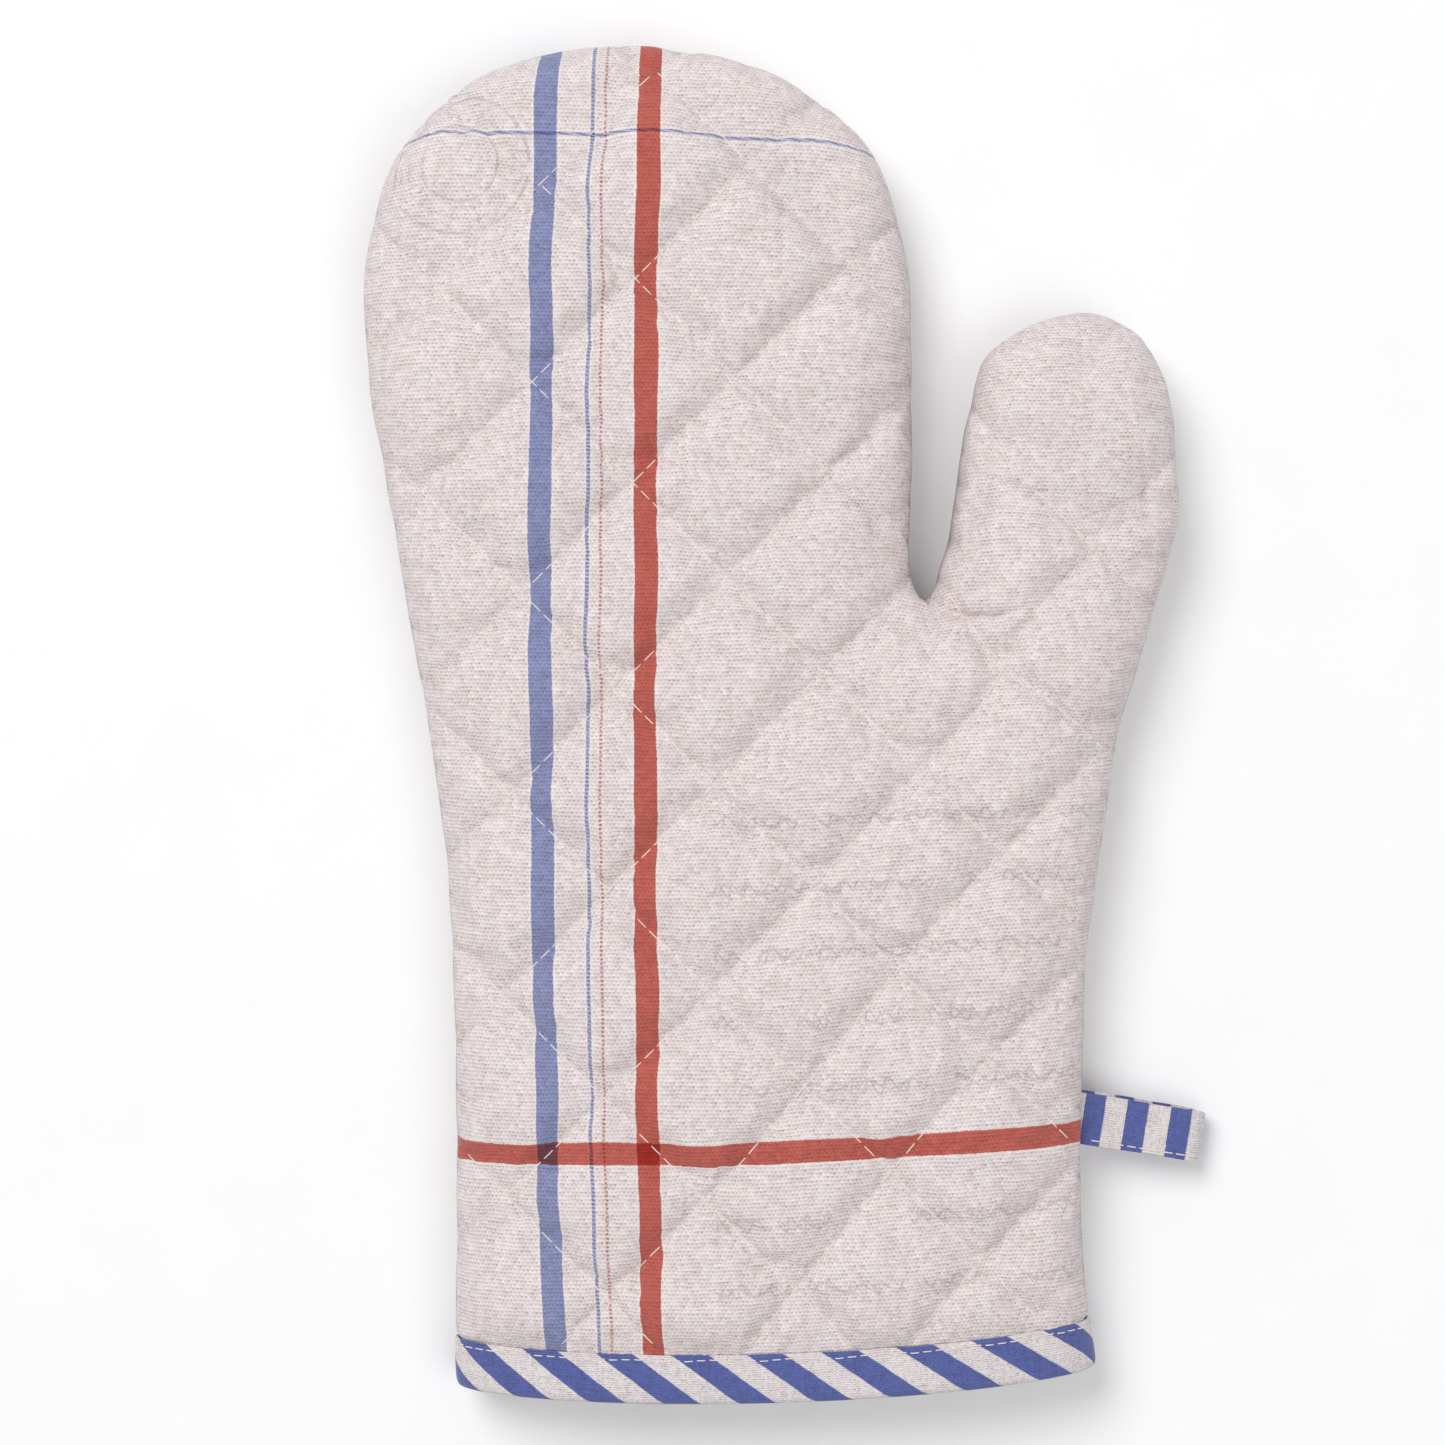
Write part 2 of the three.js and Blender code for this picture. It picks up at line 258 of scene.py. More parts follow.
def at_distance(where, run, points):
    """The points that lie at these distances along a line."""
    return np.column_stack([np.interp(where, run, column) for column in points.T])


def stitch_points(run, length, pitch, first, spare=0.0):
    """For each stitch of a row along a line, the distances of its points."""
    starts = np.arange(first, run[-1] - spare - length, pitch)
    return [at + length * STITCH_SHARES for at in starts]


def joined(parts):
    """One list of vertices and one of faces from several."""
    verts, faces, start = [], [], 0
    for v, f in parts:
        verts.append(v)
        faces += [tuple(i + start for i in face) for face in f]
        start += len(v)
    return np.vstack(verts), faces


# ------------------------------------------------------------------------------------------ the mitt's shape

def cuff_y(x):
    """How far up the cuff's edge is at x."""
    return CUFF_LOW[1] + (np.asarray(x) - CUFF_LOW[0]) ** 2 / (2 * CUFF_RADIUS)


def cuff_height(xy):
    """How far above the cuff's edge each point is."""
    return xy[:, 1] - cuff_y(xy[:, 0])


def quilt_shift(x, y):
    """How far the falling and the rising quilting lines are from where straight ones would be. They are
    moved on the thumb, and the rising ones get steeper to the right."""
    thumb = smoothstep(34, 50, x) * smoothstep(-5, 30, y)
    drift = smoothstep(-20, 45, x) * (3 * smoothstep(-30, 0, x - y) + 8 * smoothstep(40, 75, x - y))
    drift = drift + 3.5 * thumb * smoothstep(62, 85, x)
    return THUMB_SHIFT[0] * thumb, THUMB_SHIFT[1] * thumb - drift


def quilt_coordinates(xy):
    """x + y and x - y of each point, as they are where the quilting lines are straight."""
    x, y = xy[:, 0], xy[:, 1]
    falling, rising = quilt_shift(x, y)
    return x + y - falling, x - y - rising


def quilt_point(falling, rising):
    """The point with these quilt coordinates."""
    x, y = (falling + rising) / 2, (falling - rising) / 2
    for _ in range(30):
        f, r = quilt_shift(x, y)
        x = (x + (falling + f + rising + r) / 2) / 2
        y = (y + (falling + f - rising - r) / 2) / 2
    return np.column_stack([x, y])


def line_distance(xy):
    """Distance from each point to the nearest falling and the nearest rising quilting line."""
    falling, rising = quilt_coordinates(xy)
    near = [np.abs(c[:, None] - np.array(lines)[None]).min(axis=1) / math.sqrt(2)
            for c, lines in ((falling, FALLING_LINES), (rising, RISING_LINES))]
    return near[0], near[1]


def seam_outline():
    """The seam line above the cuff, ending on the cuff's edge, and its unit normals into the mitt."""
    line = smooth_line(SEAM_POINTS, 1.1)
    keep = line[:, 1] > cuff_y(line[:, 0]) + 0.4
    line = line[keep]
    pull = 0.25 * np.exp(-(np.minimum(*line_distance(line)) / 3.2) ** 2)
    pull *= smoothstep(8, 20, cuff_height(line))
    pull += 0.14 * wave(line[:, 0], line[:, 1], 9, 3) * smoothstep(2, 12, cuff_height(line))
    line = line - left_of(line) * pull[:, None]
    ends = [np.array([[x, cuff_y(x)]]) for x in (line[0, 0], line[-1, 0])]
    line = np.vstack([ends[0], line, ends[1]])
    return line, -left_of(line)


OUTLINE, INWARD = seam_outline()
SEAM_TREE = KDTree(len(OUTLINE))
for number, spot in enumerate(OUTLINE):
    SEAM_TREE.insert((*spot, 0.0), number)
SEAM_TREE.balance()


def seam_distance(xy, with_way=False):
    """How far each point is from the side seam, and with_way also the way from there into the mitt."""
    near = np.array([SEAM_TREE.find((x, y, 0.0))[1] for x, y in xy], int)
    distances, starts = [], []
    for start in (np.maximum(near - 1, 0), np.minimum(near, len(OUTLINE) - 2)):
        along = OUTLINE[start + 1] - OUTLINE[start]
        off = xy - OUTLINE[start]
        share = np.clip((off * along).sum(-1) / (along * along).sum(-1), 0, 1)
        distances.append(np.linalg.norm(off - share[:, None] * along, axis=-1))
        starts.append(start)
    distance = np.minimum(*distances)
    way = INWARD[np.where(distances[0] <= distances[1], *starts)]
    return (distance, way) if with_way else distance


def profile(d, reach):
    """How far a panel has risen at a distance from the seam, from 0 to 1."""
    inside = 1 - np.clip(1 - d / reach, 0, 1) ** PROFILE_POWER
    return np.clip(inside, 0, 1) ** (1 / PROFILE_POWER)


def rise_and_reach(side):
    """How far a panel rises from the seam, and how far in it goes on rising. side is 1 for the front."""
    return (FRONT_RISE, FRONT_REACH) if side > 0 else (BACK_DROP, BACK_REACH)


def wrap(d, side):
    """How much more cloth than plan lies between each distance from the seam and the middle of a panel."""
    rise, reach = rise_and_reach(side)
    at = np.linspace(0, reach, 400) ** 2 / reach
    z = rise * profile(at, reach)
    extra = np.hypot(np.diff(at), np.diff(z)) - np.diff(at)
    left = np.r_[np.cumsum(extra[::-1])[::-1], 0]
    return np.interp(d, at, left)


CROTCH_FOLD = [(31.6, 27.0), (35.2, 24.5), (38.9, 23.4), (42.6, 23.2), (46.3, 23.5), (49.6, 24.6)]
CREASES = [
    [(-9, -20), (1, -21.5)], [(50, -33.5), (66, -31.5)], [(17, -66.5), (34, -67.5)],
    [(4, -83), (20, -84.5)], [(36, -59), (50, -60)], [(54, -112.4), (66, -110.6)],
    [(56, -123.4), (67, -122.3)], [(57, -52.6), (69, -50.4)], [(38, -98), (47, -97)],
    [(-66, -60), (-58, -61)], [(-70, 20), (-62, 18)], [(-12, 108), (-2, 111)],
]


def creases(xy):
    """How deep the small folds of the cloth are at each point, from 0 to 1."""
    depth = np.zeros(len(xy))
    for number, points in enumerate(CREASES):
        line = smooth_line(points, 1.5)
        line[:, 1] += 0.5 * np.sin(line[:, 0] * 0.7 + number)
        ends = np.sin(np.linspace(0.15, 0.95, len(line)) * math.pi)
        off = np.linalg.norm(xy[:, None] - line[None], axis=-1)
        depth = np.maximum(depth, (0.75 * ends[None] * np.exp(-(off / 1.6) ** 2)).max(axis=1))
    return depth


def crotch_fold_share(xy):
    """How deep the fold from the crotch into the thumb is at each point, from 0 to 1."""
    line = smooth_line(CROTCH_FOLD, 0.9)
    ends = np.cos(np.linspace(0, 0.97, len(line)) * math.pi / 2) ** 0.6
    off = np.linalg.norm(xy[:, None] - line[None], axis=-1)
    return (ends[None] * np.exp(-(off / 1.1) ** 1.3)).max(axis=1)


def crotch_fold():
    """Rows of points along the fold that runs from the crotch into the thumb, the middle one on the fold."""
    line = smooth_line(CROTCH_FOLD, 0.9)
    return [line + left_of(line) * off for off in (0.0, -1.7, -1.0, -0.45, 0.45, 1.0, 1.7)]


def puff(xy):
    """The shape of the quilted patches, from 0 on the stitching to 1 in the middle of a patch."""
    near = [0.62 * (1 - np.exp(-n / 1.9)) + 0.38 * np.sin(np.clip(n / 15.5, 0, 1) * math.pi / 2)
            for n in line_distance(xy)]
    return near[0] * near[1]


def subdivided_lines(lines):
    """The lines and what lies between them, as a grid that is finer beside the lines."""
    ordered = np.array(sorted(lines))
    at = np.arange((len(ordered) - 1) * CELLS + 1) / CELLS
    return np.interp(at - 0.4 * np.sin(at * 2 * math.pi) / (2 * math.pi), np.arange(len(ordered)), ordered)


def panel_grid():
    """Points (x, y) and faces of a panel lying flat. Its edges follow the quilting lines and the seam."""
    ring = np.vstack([(OUTLINE + INWARD * depth)[::1 + (depth > 7)] for depth in RING_ROWS])
    falling, rising = np.meshgrid(subdivided_lines(FALLING_LINES), subdivided_lines(RISING_LINES))
    grid = quilt_point(falling.ravel(), rising.ravel())
    grid = grid[seam_distance(grid) > RING_ROWS[-1] + 1.2]
    inner = np.vstack([ring[points_inside(ring)], grid[points_inside(grid)]])
    inner = inner[cuff_height(inner) > 1.1]
    fold = crotch_fold()
    on_lines = np.vstack([line[::2] for line in quilting_lines()])
    on_lines = on_lines[seam_distance(on_lines) < RING_ROWS[-1] + 0.9]
    on_lines = on_lines[distance_to(on_lines, fold[0]) > 1.9]
    inner = inner[(distance_to(inner, fold[0]) > 2.4) & (distance_to(inner, on_lines) > 0.62)]
    fold = np.vstack(fold)
    fold = fold[points_inside(fold)]
    inner = np.vstack([inner, on_lines, fold[seam_distance(fold) > 0.7]])
    x = np.linspace(OUTLINE[-1, 0], OUTLINE[0, 0], 66)[1:-1]
    rim = np.vstack([OUTLINE, np.column_stack([x, cuff_y(x)])])
    border = [(i, (i + 1) % len(rim)) for i in range(len(rim))]
    made = delaunay_2d_cdt([Vector(p) for p in np.vstack([rim, inner])], border, [], 1, 1e-4)
    xy = np.array([tuple(v) for v in made[0]])
    return xy, quads_from(xy, made[2])


def distance_to(xy, others):
    """How far each point is from the nearest of some others."""
    return np.array([np.linalg.norm(others - point, axis=1).min() for point in xy])


def points_inside(xy):
    """Whether each point is inside the seam line."""
    a, b = OUTLINE, np.roll(OUTLINE, -1, axis=0)
    x, y = xy[:, 0][:, None], xy[:, 1][:, None]
    crosses = (a[:, 1] > y) != (b[:, 1] > y)
    rise = np.where(b[:, 1] == a[:, 1], 1e-9, b[:, 1] - a[:, 1])
    at = a[:, 0] + (y - a[:, 1]) / rise * (b[:, 0] - a[:, 0])
    return (crosses & (x < at)).sum(axis=1) % 2 == 1


def quads_from(xy, triangles):
    """Pairs of triangles joined to quads where they are nearly square."""
    mesh = bmesh.new()
    verts = [mesh.verts.new((x, y, 0)) for x, y in xy]
    for tri in triangles:
        mesh.faces.new([verts[i] for i in tri])
    mesh.verts.index_update()
    mesh.normal_update()
    bmesh.ops.join_triangles(mesh, faces=mesh.faces[:], angle_face_threshold=3.2, angle_shape_threshold=0.75)
    faces = [[v.index for v in f.verts] for f in mesh.faces]
    flip = sum(f.normal.z for f in mesh.faces) < 0
    mesh.free()
    return [f[::-1] for f in faces] if flip else faces


def stitching_level(xy, faces, side):
    """Height of a panel's surface along its stitching, before the patches puff out."""
    d = seam_distance(xy)
    rise, reach = rise_and_reach(side)
    z = rise * profile(d, reach)
    edges = edges_of(faces)
    free = smoothstep(4, 12, d)
    for _ in range(60):
        z += free * 0.5 * (neighbour_mean(z, edges, len(z)) - z)
    if side > 0:
        z += smoothstep(6, 30, d) * 0.5 * wave(xy[:, 0], xy[:, 1], 55, 2)
        z *= 1 - 0.05 * smoothstep(60, 0, cuff_height(xy))
    return z + 0.2


def panel_surface(xy, faces, side):
    """Outer surface of a panel, as points, and how much of the quilting shows at each of them."""
    level = stitching_level(xy, faces, side)
    d = seam_distance(xy)
    high = cuff_height(xy)
    shows = smoothstep(BINDING_HEIGHT - 1, BINDING_HEIGHT + 9, high) * (0.6 + 0.4 * smoothstep(0, 13, d))
    shows *= smoothstep(0, 2.5, d)
    amount = FRONT_PUFF if side > 0 else BACK_PUFF
    x, y = xy.T
    ripple = 0.30 * wave(x / 3.2, y, 4.2, 11 + side) + 0.25 * wave(x, y, 12, 14 + side)
    z = level + shows * (amount * puff(xy) + ripple - 0.8 * creases(xy))
    z -= (3.1 if side > 0 else 1.0) * crotch_fold_share(xy) * smoothstep(0, 1.6, d)
    bound = smoothstep(BINDING_HEIGHT + 1.5, BINDING_HEIGHT - 0.5, high)
    flat = np.column_stack([xy, SEAM_Z + side * z])
    normals = vertex_normals(flat, faces) * side
    return flat - normals * (BINDING_PRESS * bound)[:, None], shows


# ------------------------------------------------------------------------------------------ cloth simulation

SIMULATED_FRAMES = 18


def settle_cloth(points, faces, pinned, pressure, growth, seed, cap):
    """Lets Blender's cloth solver blow up a sheet between its pinned points. The sheet is made 20 times as
    large as it is, because the solver is tuned for garments, and no point moves further than the cap."""
    scale = 20 * MM
    start = points * scale
    x, y = points[:, 0], points[:, 1]
    bumps = 0.35 * wave(x, y, 7, seed) + 0.3 * wave(x * 0.6, y, 16, seed + 1)
    start[:, 2] += (~pinned) * bumps * scale * np.sign(pressure)
    mesh = bpy.data.meshes.new("cloth_work")
    mesh.from_pydata(start.tolist(), [], [list(map(int, f)) for f in faces])
    obj = bpy.data.objects.new("cloth_work", mesh)
    scene = bpy.context.scene
    scene.collection.objects.link(obj)
    group = obj.vertex_groups.new(name="pin")
    group.add(np.flatnonzero(pinned).tolist(), 1.0, "REPLACE")
    cloth = obj.modifiers.new("Cloth", "CLOTH")
    settings = cloth.settings
    settings.quality = 5
    settings.mass = 0.25
    settings.tension_stiffness = settings.compression_stiffness = 25
    settings.shear_stiffness = 12
    settings.bending_stiffness = 0.6
    settings.tension_damping = settings.compression_damping = settings.shear_damping = 12
    settings.air_damping = 3
    settings.use_pressure = True
    settings.uniform_pressure_force = abs(pressure)
    settings.shrink_min = -growth
    settings.vertex_group_mass = "pin"
    settings.pin_stiffness = 1.0
    settings.effector_weights.gravity = 0
    cloth.collision_settings.use_collision = False
    cloth.collision_settings.use_self_collision = False
    cloth.point_cache.frame_start = 1
    cloth.point_cache.frame_end = SIMULATED_FRAMES
    for number in range(1, SIMULATED_FRAMES + 1):
        scene.frame_set(number)
    evaluated = obj.evaluated_get(bpy.context.evaluated_depsgraph_get())
    moved = np.zeros(len(points) * 3)
    evaluated.data.vertices.foreach_get("co", moved)
    moved = moved.reshape(-1, 3) / scale
    bpy.data.objects.remove(obj)
    bpy.data.meshes.remove(mesh)
    scene.frame_set(1)
    shift = moved - points
    far = np.linalg.norm(shift, axis=1, keepdims=True)
    return points + shift * np.minimum(1, cap / np.maximum(far, 1e-6))


# ------------------------------------------------------------------------------------------ materials

def linear(r, g, b):
    """A colour given as it looks on screen, from 0 to 255, as the shader's own value."""
    seen = (r / 255, g / 255, b / 255)
    return tuple(c / 12.92 if c <= 0.04045 else ((c + 0.055) / 1.055) ** 2.4 for c in seen) + (1.0,)


def formula(operation, swapped=False):
    """A way to combine a Value with another one or a number."""
    return lambda a, b: a.shader.math(operation, *((b, a) if swapped else (a, b)))


class Value:
    """What a socket of a material gives, which can be used in a formula like a number."""

    def __init__(self, shader, socket):
        self.shader = shader
        self.socket = socket

    __add__ = __radd__ = formula("ADD")
    __mul__ = __rmul__ = formula("MULTIPLY")
    __sub__ = formula("SUBTRACT")
    __rsub__ = formula("SUBTRACT", swapped=True)
    __truediv__ = formula("DIVIDE")
    __pow__ = formula("POWER")
    __mod__ = formula("MODULO")

    def __abs__(self):
        return self.shader.math("ABSOLUTE", self)


class Shader:
    """A material's nodes, written as formulas."""

    def __init__(self, name, roughness, sheen=0.0):
        self.material = bpy.data.materials.new(name)
        self.material.use_nodes = True
        self.tree = self.material.node_tree
        self.bsdf = self.tree.nodes["Principled BSDF"]
        self.bsdf.inputs["Roughness"].default_value = roughness
        self.bsdf.inputs["Specular IOR Level"].default_value = 0.2
        self.bsdf.inputs["Sheen Weight"].default_value = sheen
        self.bsdf.inputs["Sheen Roughness"].default_value = 0.5

    def node(self, kind, **settings):
        made = self.tree.nodes.new(kind)
        for key, value in settings.items():
            setattr(made, key, value)
        return made

    def put(self, socket, value):
        if isinstance(value, Value):
            self.tree.links.new(value.socket, socket)
        else:
            socket.default_value = value

    def math(self, operation, *values, clamp=False):
        made = self.node("ShaderNodeMath", operation=operation, use_clamp=clamp)
        for socket, value in zip(made.inputs, values):
            self.put(socket, value)
        return Value(self, made.outputs[0])

    def cloth(self):
        """The cloth coordinates s and t, in millimetres."""
        uv = self.node("ShaderNodeUVMap", uv_map="Cloth")
        parts = self.node("ShaderNodeSeparateXYZ")
        self.put(parts.inputs[0], Value(self, uv.outputs[0]))
        return Value(self, parts.outputs[0]), Value(self, parts.outputs[1])

    def place(self):
        """Where the shaded point is, in metres."""
        return Value(self, self.node("ShaderNodeNewGeometry").outputs["Position"])

    def vector(self, x, y, z=0.0):
        made = self.node("ShaderNodeCombineXYZ")
        for socket, value in zip(made.inputs, (x, y, z)):
            self.put(socket, value)
        return Value(self, made.outputs[0])

    def noise(self, vector, scale, detail=2.0, rough=0.5, dimensions="3D"):
        made = self.node("ShaderNodeTexNoise", noise_dimensions=dimensions)
        self.put(made.inputs["Vector"], vector)
        made.inputs["Scale"].default_value = scale
        made.inputs["Detail"].default_value = detail
        made.inputs["Roughness"].default_value = rough
        return Value(self, made.outputs["Fac"])

    def chance(self, x, y):
        """A number from 0 to 1 that has nothing to do with its neighbours."""
        made = self.node("ShaderNodeTexWhiteNoise", noise_dimensions="2D")
        self.put(made.inputs["Vector"], self.vector(x, y))
        return Value(self, made.outputs["Value"])

    def ridge(self, value, pitch):
        """A rounded thread profile, from 0 between two threads to 1 on a thread."""
        return abs(self.math("SINE", value * (math.pi / pitch)))

    def index(self, value, pitch):
        return self.math("FLOOR", value * (1 / pitch))

    def band(self, value, centre, half, soft):
        """1 within `half` of the centre, 0 outside, with a soft edge."""
        made = self.node("ShaderNodeMapRange", interpolation_type="SMOOTHSTEP")
        for socket, v in zip(made.inputs, (abs(value - centre), half - soft, half + soft, 1.0, 0.0)):
            self.put(socket, v)
        return Value(self, made.outputs[0])

    def mix(self, factor, a, b, blend="MIX"):
        made = self.node("ShaderNodeMix", data_type="RGBA", blend_type=blend)
        self.put(made.inputs["Factor"], factor)
        self.put(made.inputs["A"], a)
        self.put(made.inputs["B"], b)
        return Value(self, made.outputs["Result"])

    def scale_colour(self, colour, factor):
        grey = self.node("ShaderNodeCombineColor")
        for socket in grey.inputs:
            self.put(socket, factor)
        return self.mix(1.0, colour, Value(self, grey.outputs[0]), "MULTIPLY")

    def finish(self, colour, height=None, depth=0.1, strength=0.6):
        self.put(self.bsdf.inputs["Base Color"], colour)
        if height is not None:
            bump = self.node("ShaderNodeBump")
            bump.inputs["Strength"].default_value = strength
            bump.inputs["Distance"].default_value = depth * MM
            self.put(bump.inputs["Height"], height)
            self.put(self.bsdf.inputs["Normal"], Value(self, bump.outputs[0]))
        return self.material


LINEN_WARM = linear(236, 224, 220)
LINEN_COOL = linear(230, 225, 231)
LINEN_GAP = linear(192, 178, 174)
PINHOLE = linear(118, 98, 88)
PRINT_BLUE = (0.205, 0.275, 0.57, 1.0)  # what the ink leaves of the linen's colour
PRINT_RED = (0.56, 0.042, 0.008, 1.0)


def weave(shader, s, t, weft, warp):
    """A plain weave of uneven threads: how much light thread shows, how dark its pinholes are, and how
    high it is."""
    wander = shader.noise(shader.vector(s * 0.02, t * 0.02), 5.0)
    t = t + wander * 0.9
    s = s - wander * 0.6
    row = shader.index(t, weft)
    t = t + shader.noise(shader.vector(s, row), 0.6, 1.0, 0.5, "2D") * (weft * 0.45)
    s = s + row % 2.0 * (warp / 2)
    column = shader.index(s, warp)
    s = s + shader.noise(shader.vector(t, column), 0.6, 1.0, 0.5, "2D") * (warp * 0.45)
    slub = shader.noise(shader.vector(s * 0.16, row * 3.7), 1.0, 3.0, 0.65, "2D")
    fine = shader.noise(shader.vector(t * 0.2, column * 4.1), 1.0, 3.0, 0.65, "2D")
    hole = shader.noise(shader.vector(row * 2.3, column * 3.1), 1.0, 1.0, 0.5, "2D")
    rib, stripe = shader.ridge(t, weft), shader.ridge(s, warp)
    over = rib**0.8 * (0.7 + stripe * 0.3)
    over = shader.math("MAXIMUM", over, stripe * 0.74)
    light = over * 0.95 + (slub + fine) * 0.6 + shader.chance(row, column) * 0.34
    light = shader.math("SUBTRACT", light, 0.815, clamp=True)
    pit = (1.0 - rib) * (1.0 - stripe * 0.7)
    pit = pit * shader.math("MULTIPLY", hole - 0.49, 6.0, clamp=True)
    height = over * 0.6 + slub * 0.5
    return light, pit, height - pit * 0.4


def woven(shader, light_thread, dark_thread, light, pit):
    """The colour of a weave of light threads, with darker ones showing between them."""
    colour = shader.mix(light, dark_thread, light_thread)
    return shader.mix(pit * 0.55, colour, PINHOLE)


def handwriting(shader, s, t, pitch):
    """Faint rows of scrawl that say nothing, as a mask."""
    slanted = s + t * 0.35
    row = shader.index(t, pitch)
    line = t - row * pitch - pitch / 2
    place = shader.vector(slanted, row * 9.7)
    tall = 0.5 + shader.noise(place, 0.3, 1.0, 0.5, "2D") * 2.2
    drift = shader.noise(place, 0.1, 1.0, 0.5, "2D") * 9.0
    inked = 0.0
    for rate, size, shift in ((1.55, 0.8, 0.0), (0.95, 0.55, 2.1)):
        phase = slanted * rate + (drift + shift)
        high = tall * size
        near = abs(line - shader.math("SINE", phase) * high)
        steep = shader.math("COSINE", phase) * high * rate
        near = near / shader.math("SQRT", 1.0 + steep * steep)
        inked = shader.math("MAXIMUM", inked, shader.math("SUBTRACT", 1.0, near * 2.6, clamp=True))
    words = shader.noise(shader.vector(slanted, row * 6.3), 0.09, 1.0, 0.5, "2D")
    inked = inked * shader.math("GREATER_THAN", words, 0.4)
    wear = shader.noise(shader.vector(s, t), 0.8, 2.0)
    return inked * shader.math("MULTIPLY", wear, 1.3, clamp=True)


def within(shader, value, low, high, soft=2.0):
    return shader.band(value, (low + high) / 2, (high - low) / 2, soft)


def postmark(shader, s, t, centre, radius):
    """Two rings with broken marks between them, as a mask."""
    ds, dt = s - centre[0], t - centre[1]
    away = shader.math("SQRT", ds * ds + dt * dt)
    turn = shader.math("ARCTAN2", dt, ds) * (radius * 0.75)
    outer, inner = shader.band(away, radius, 0.35, 0.25), shader.band(away, radius * 0.55, 0.3, 0.25)
    rings = shader.math("MAXIMUM", outer, inner)
    marks = shader.noise(shader.vector(turn, away * 0.7), 0.5, 1.0, 0.5, "2D")
    marks = shader.band(marks, 0.5, 0.035, 0.02)
    marks = marks * shader.band(away, radius * 0.78, radius * 0.14, 0.3)
    wear = shader.noise(shader.vector(s, t), 0.25, 2.0)
    worn = shader.math("MULTIPLY", wear - 0.36, 3.5, clamp=True)
    return shader.math("MAXIMUM", rings, marks) * worn


def printed_linen(name, upright, level, scrawl, mark):
    """Linen printed with stripes. upright and level list the stripes along t and along s, each as
    (centre, width, colour, dash), where dash is the length of a dash or 0 for a plain stripe. scrawl is
    the (low s, high s, low t, high t) of the faint handwriting, and mark the (s, t, radius) of the faint
    postmark."""
    shader = Shader(name, 0.9, 0.2)
    s, t = shader.cloth()
    light, pit, height = weave(shader, s, t, 0.82, 0.95)
    blotch = shader.noise(shader.vector(s, t * 1.3), 0.11, 4.0, 0.62)
    warmth = shader.noise(shader.vector(s + 61.0, t), 0.22, 4.0, 0.65)
    warmth = shader.math("MULTIPLY", warmth - 0.25, 2.0, clamp=True)
    cast = shader.mix(warmth, LINEN_COOL, LINEN_WARM)
    colour = woven(shader, cast, LINEN_GAP, light, pit)
    colour = shader.scale_colour(colour, 0.91 + blotch * 0.18)
    writing = handwriting(shader, s, t, 14.6) * within(shader, s, scrawl[0], scrawl[1])
    writing = writing * within(shader, t, scrawl[2], scrawl[3])
    faint = shader.math("MAXIMUM", writing, postmark(shader, s, t, mark[:2], mark[2]) * 0.75)
    colour = shader.mix(faint * 0.48, colour, linear(120, 112, 116))
    speck = shader.noise(shader.vector(s, t), 1.7, 2.0)
    thick = 0.78 + shader.ridge(s + t, 0.5) * 0.16
    beads = 0.45 + shader.ridge(t + s * 0.2, 0.85) * 0.6
    edge_noise = (shader.noise(shader.vector(s, t), 1.3, 2.0) - 0.5) * 0.35
    stripes = [(s + edge_noise, t, *stripe) for stripe in upright]
    stripes += [(t + edge_noise, s, *stripe) for stripe in level]
    for at, _, centre, width, _, dash in stripes:
        if not dash:
            rim = shader.band(at, centre, width / 2 + 0.5, 0.2)
            colour = shader.mix(rim * 0.25, colour, linear(238, 230, 228))
    for at, along, centre, width, ink, dash in stripes:
        mask = shader.band(at, centre, width / 2, 0.12)
        if dash:
            dashes = shader.ridge(along, dash) + speck
            dashes = shader.math("SUBTRACT", dashes, 0.65, clamp=True)
            mask = mask * shader.math("MULTIPLY", dashes, 0.95, clamp=True)
        elif width < 1:
            mask = mask * beads
        inked = shader.mix(1.0, colour, ink, "MULTIPLY")
        tone = speck * 0.4 + light * 0.3
        inked = shader.scale_colour(inked, 0.62 + tone)
        colour = shader.mix(mask * thick, colour, inked)
    return shader.finish(colour, height, 0.16, 0.75)


def plain_cotton(name, colour):
    shader = Shader(name, 0.92, 0.2)
    s, t = shader.cloth()
    light, pit, height = weave(shader, s, t, 0.5, 0.5)
    dark = tuple(0.72 * c for c in colour[:3]) + (1.0,)
    return shader.finish(woven(shader, colour, dark, light, pit), height, 0.1)


def fleece(name):
    shader = Shader(name, 1.0, 0.4)
    s, t = shader.cloth()
    clump = shader.noise(shader.vector(s, t), 0.6, 6.0, 0.7)
    tone = 0.8 + clump * 0.3
    return shader.finish(shader.scale_colour(linear(238, 236, 230), tone), clump, 0.6, 0.8)


def sewing_thread(name):
    shader = Shader(name, 0.6, 0.3)
    twist = shader.noise(shader.place(), 900.0, 2.0)
    tone = 0.82 + twist * 0.3
    return shader.finish(shader.scale_colour(linear(233, 222, 215), tone), twist, 0.08, 0.5)


BLUE = linear(90, 101, 162)
WHITE = linear(224, 216, 216)


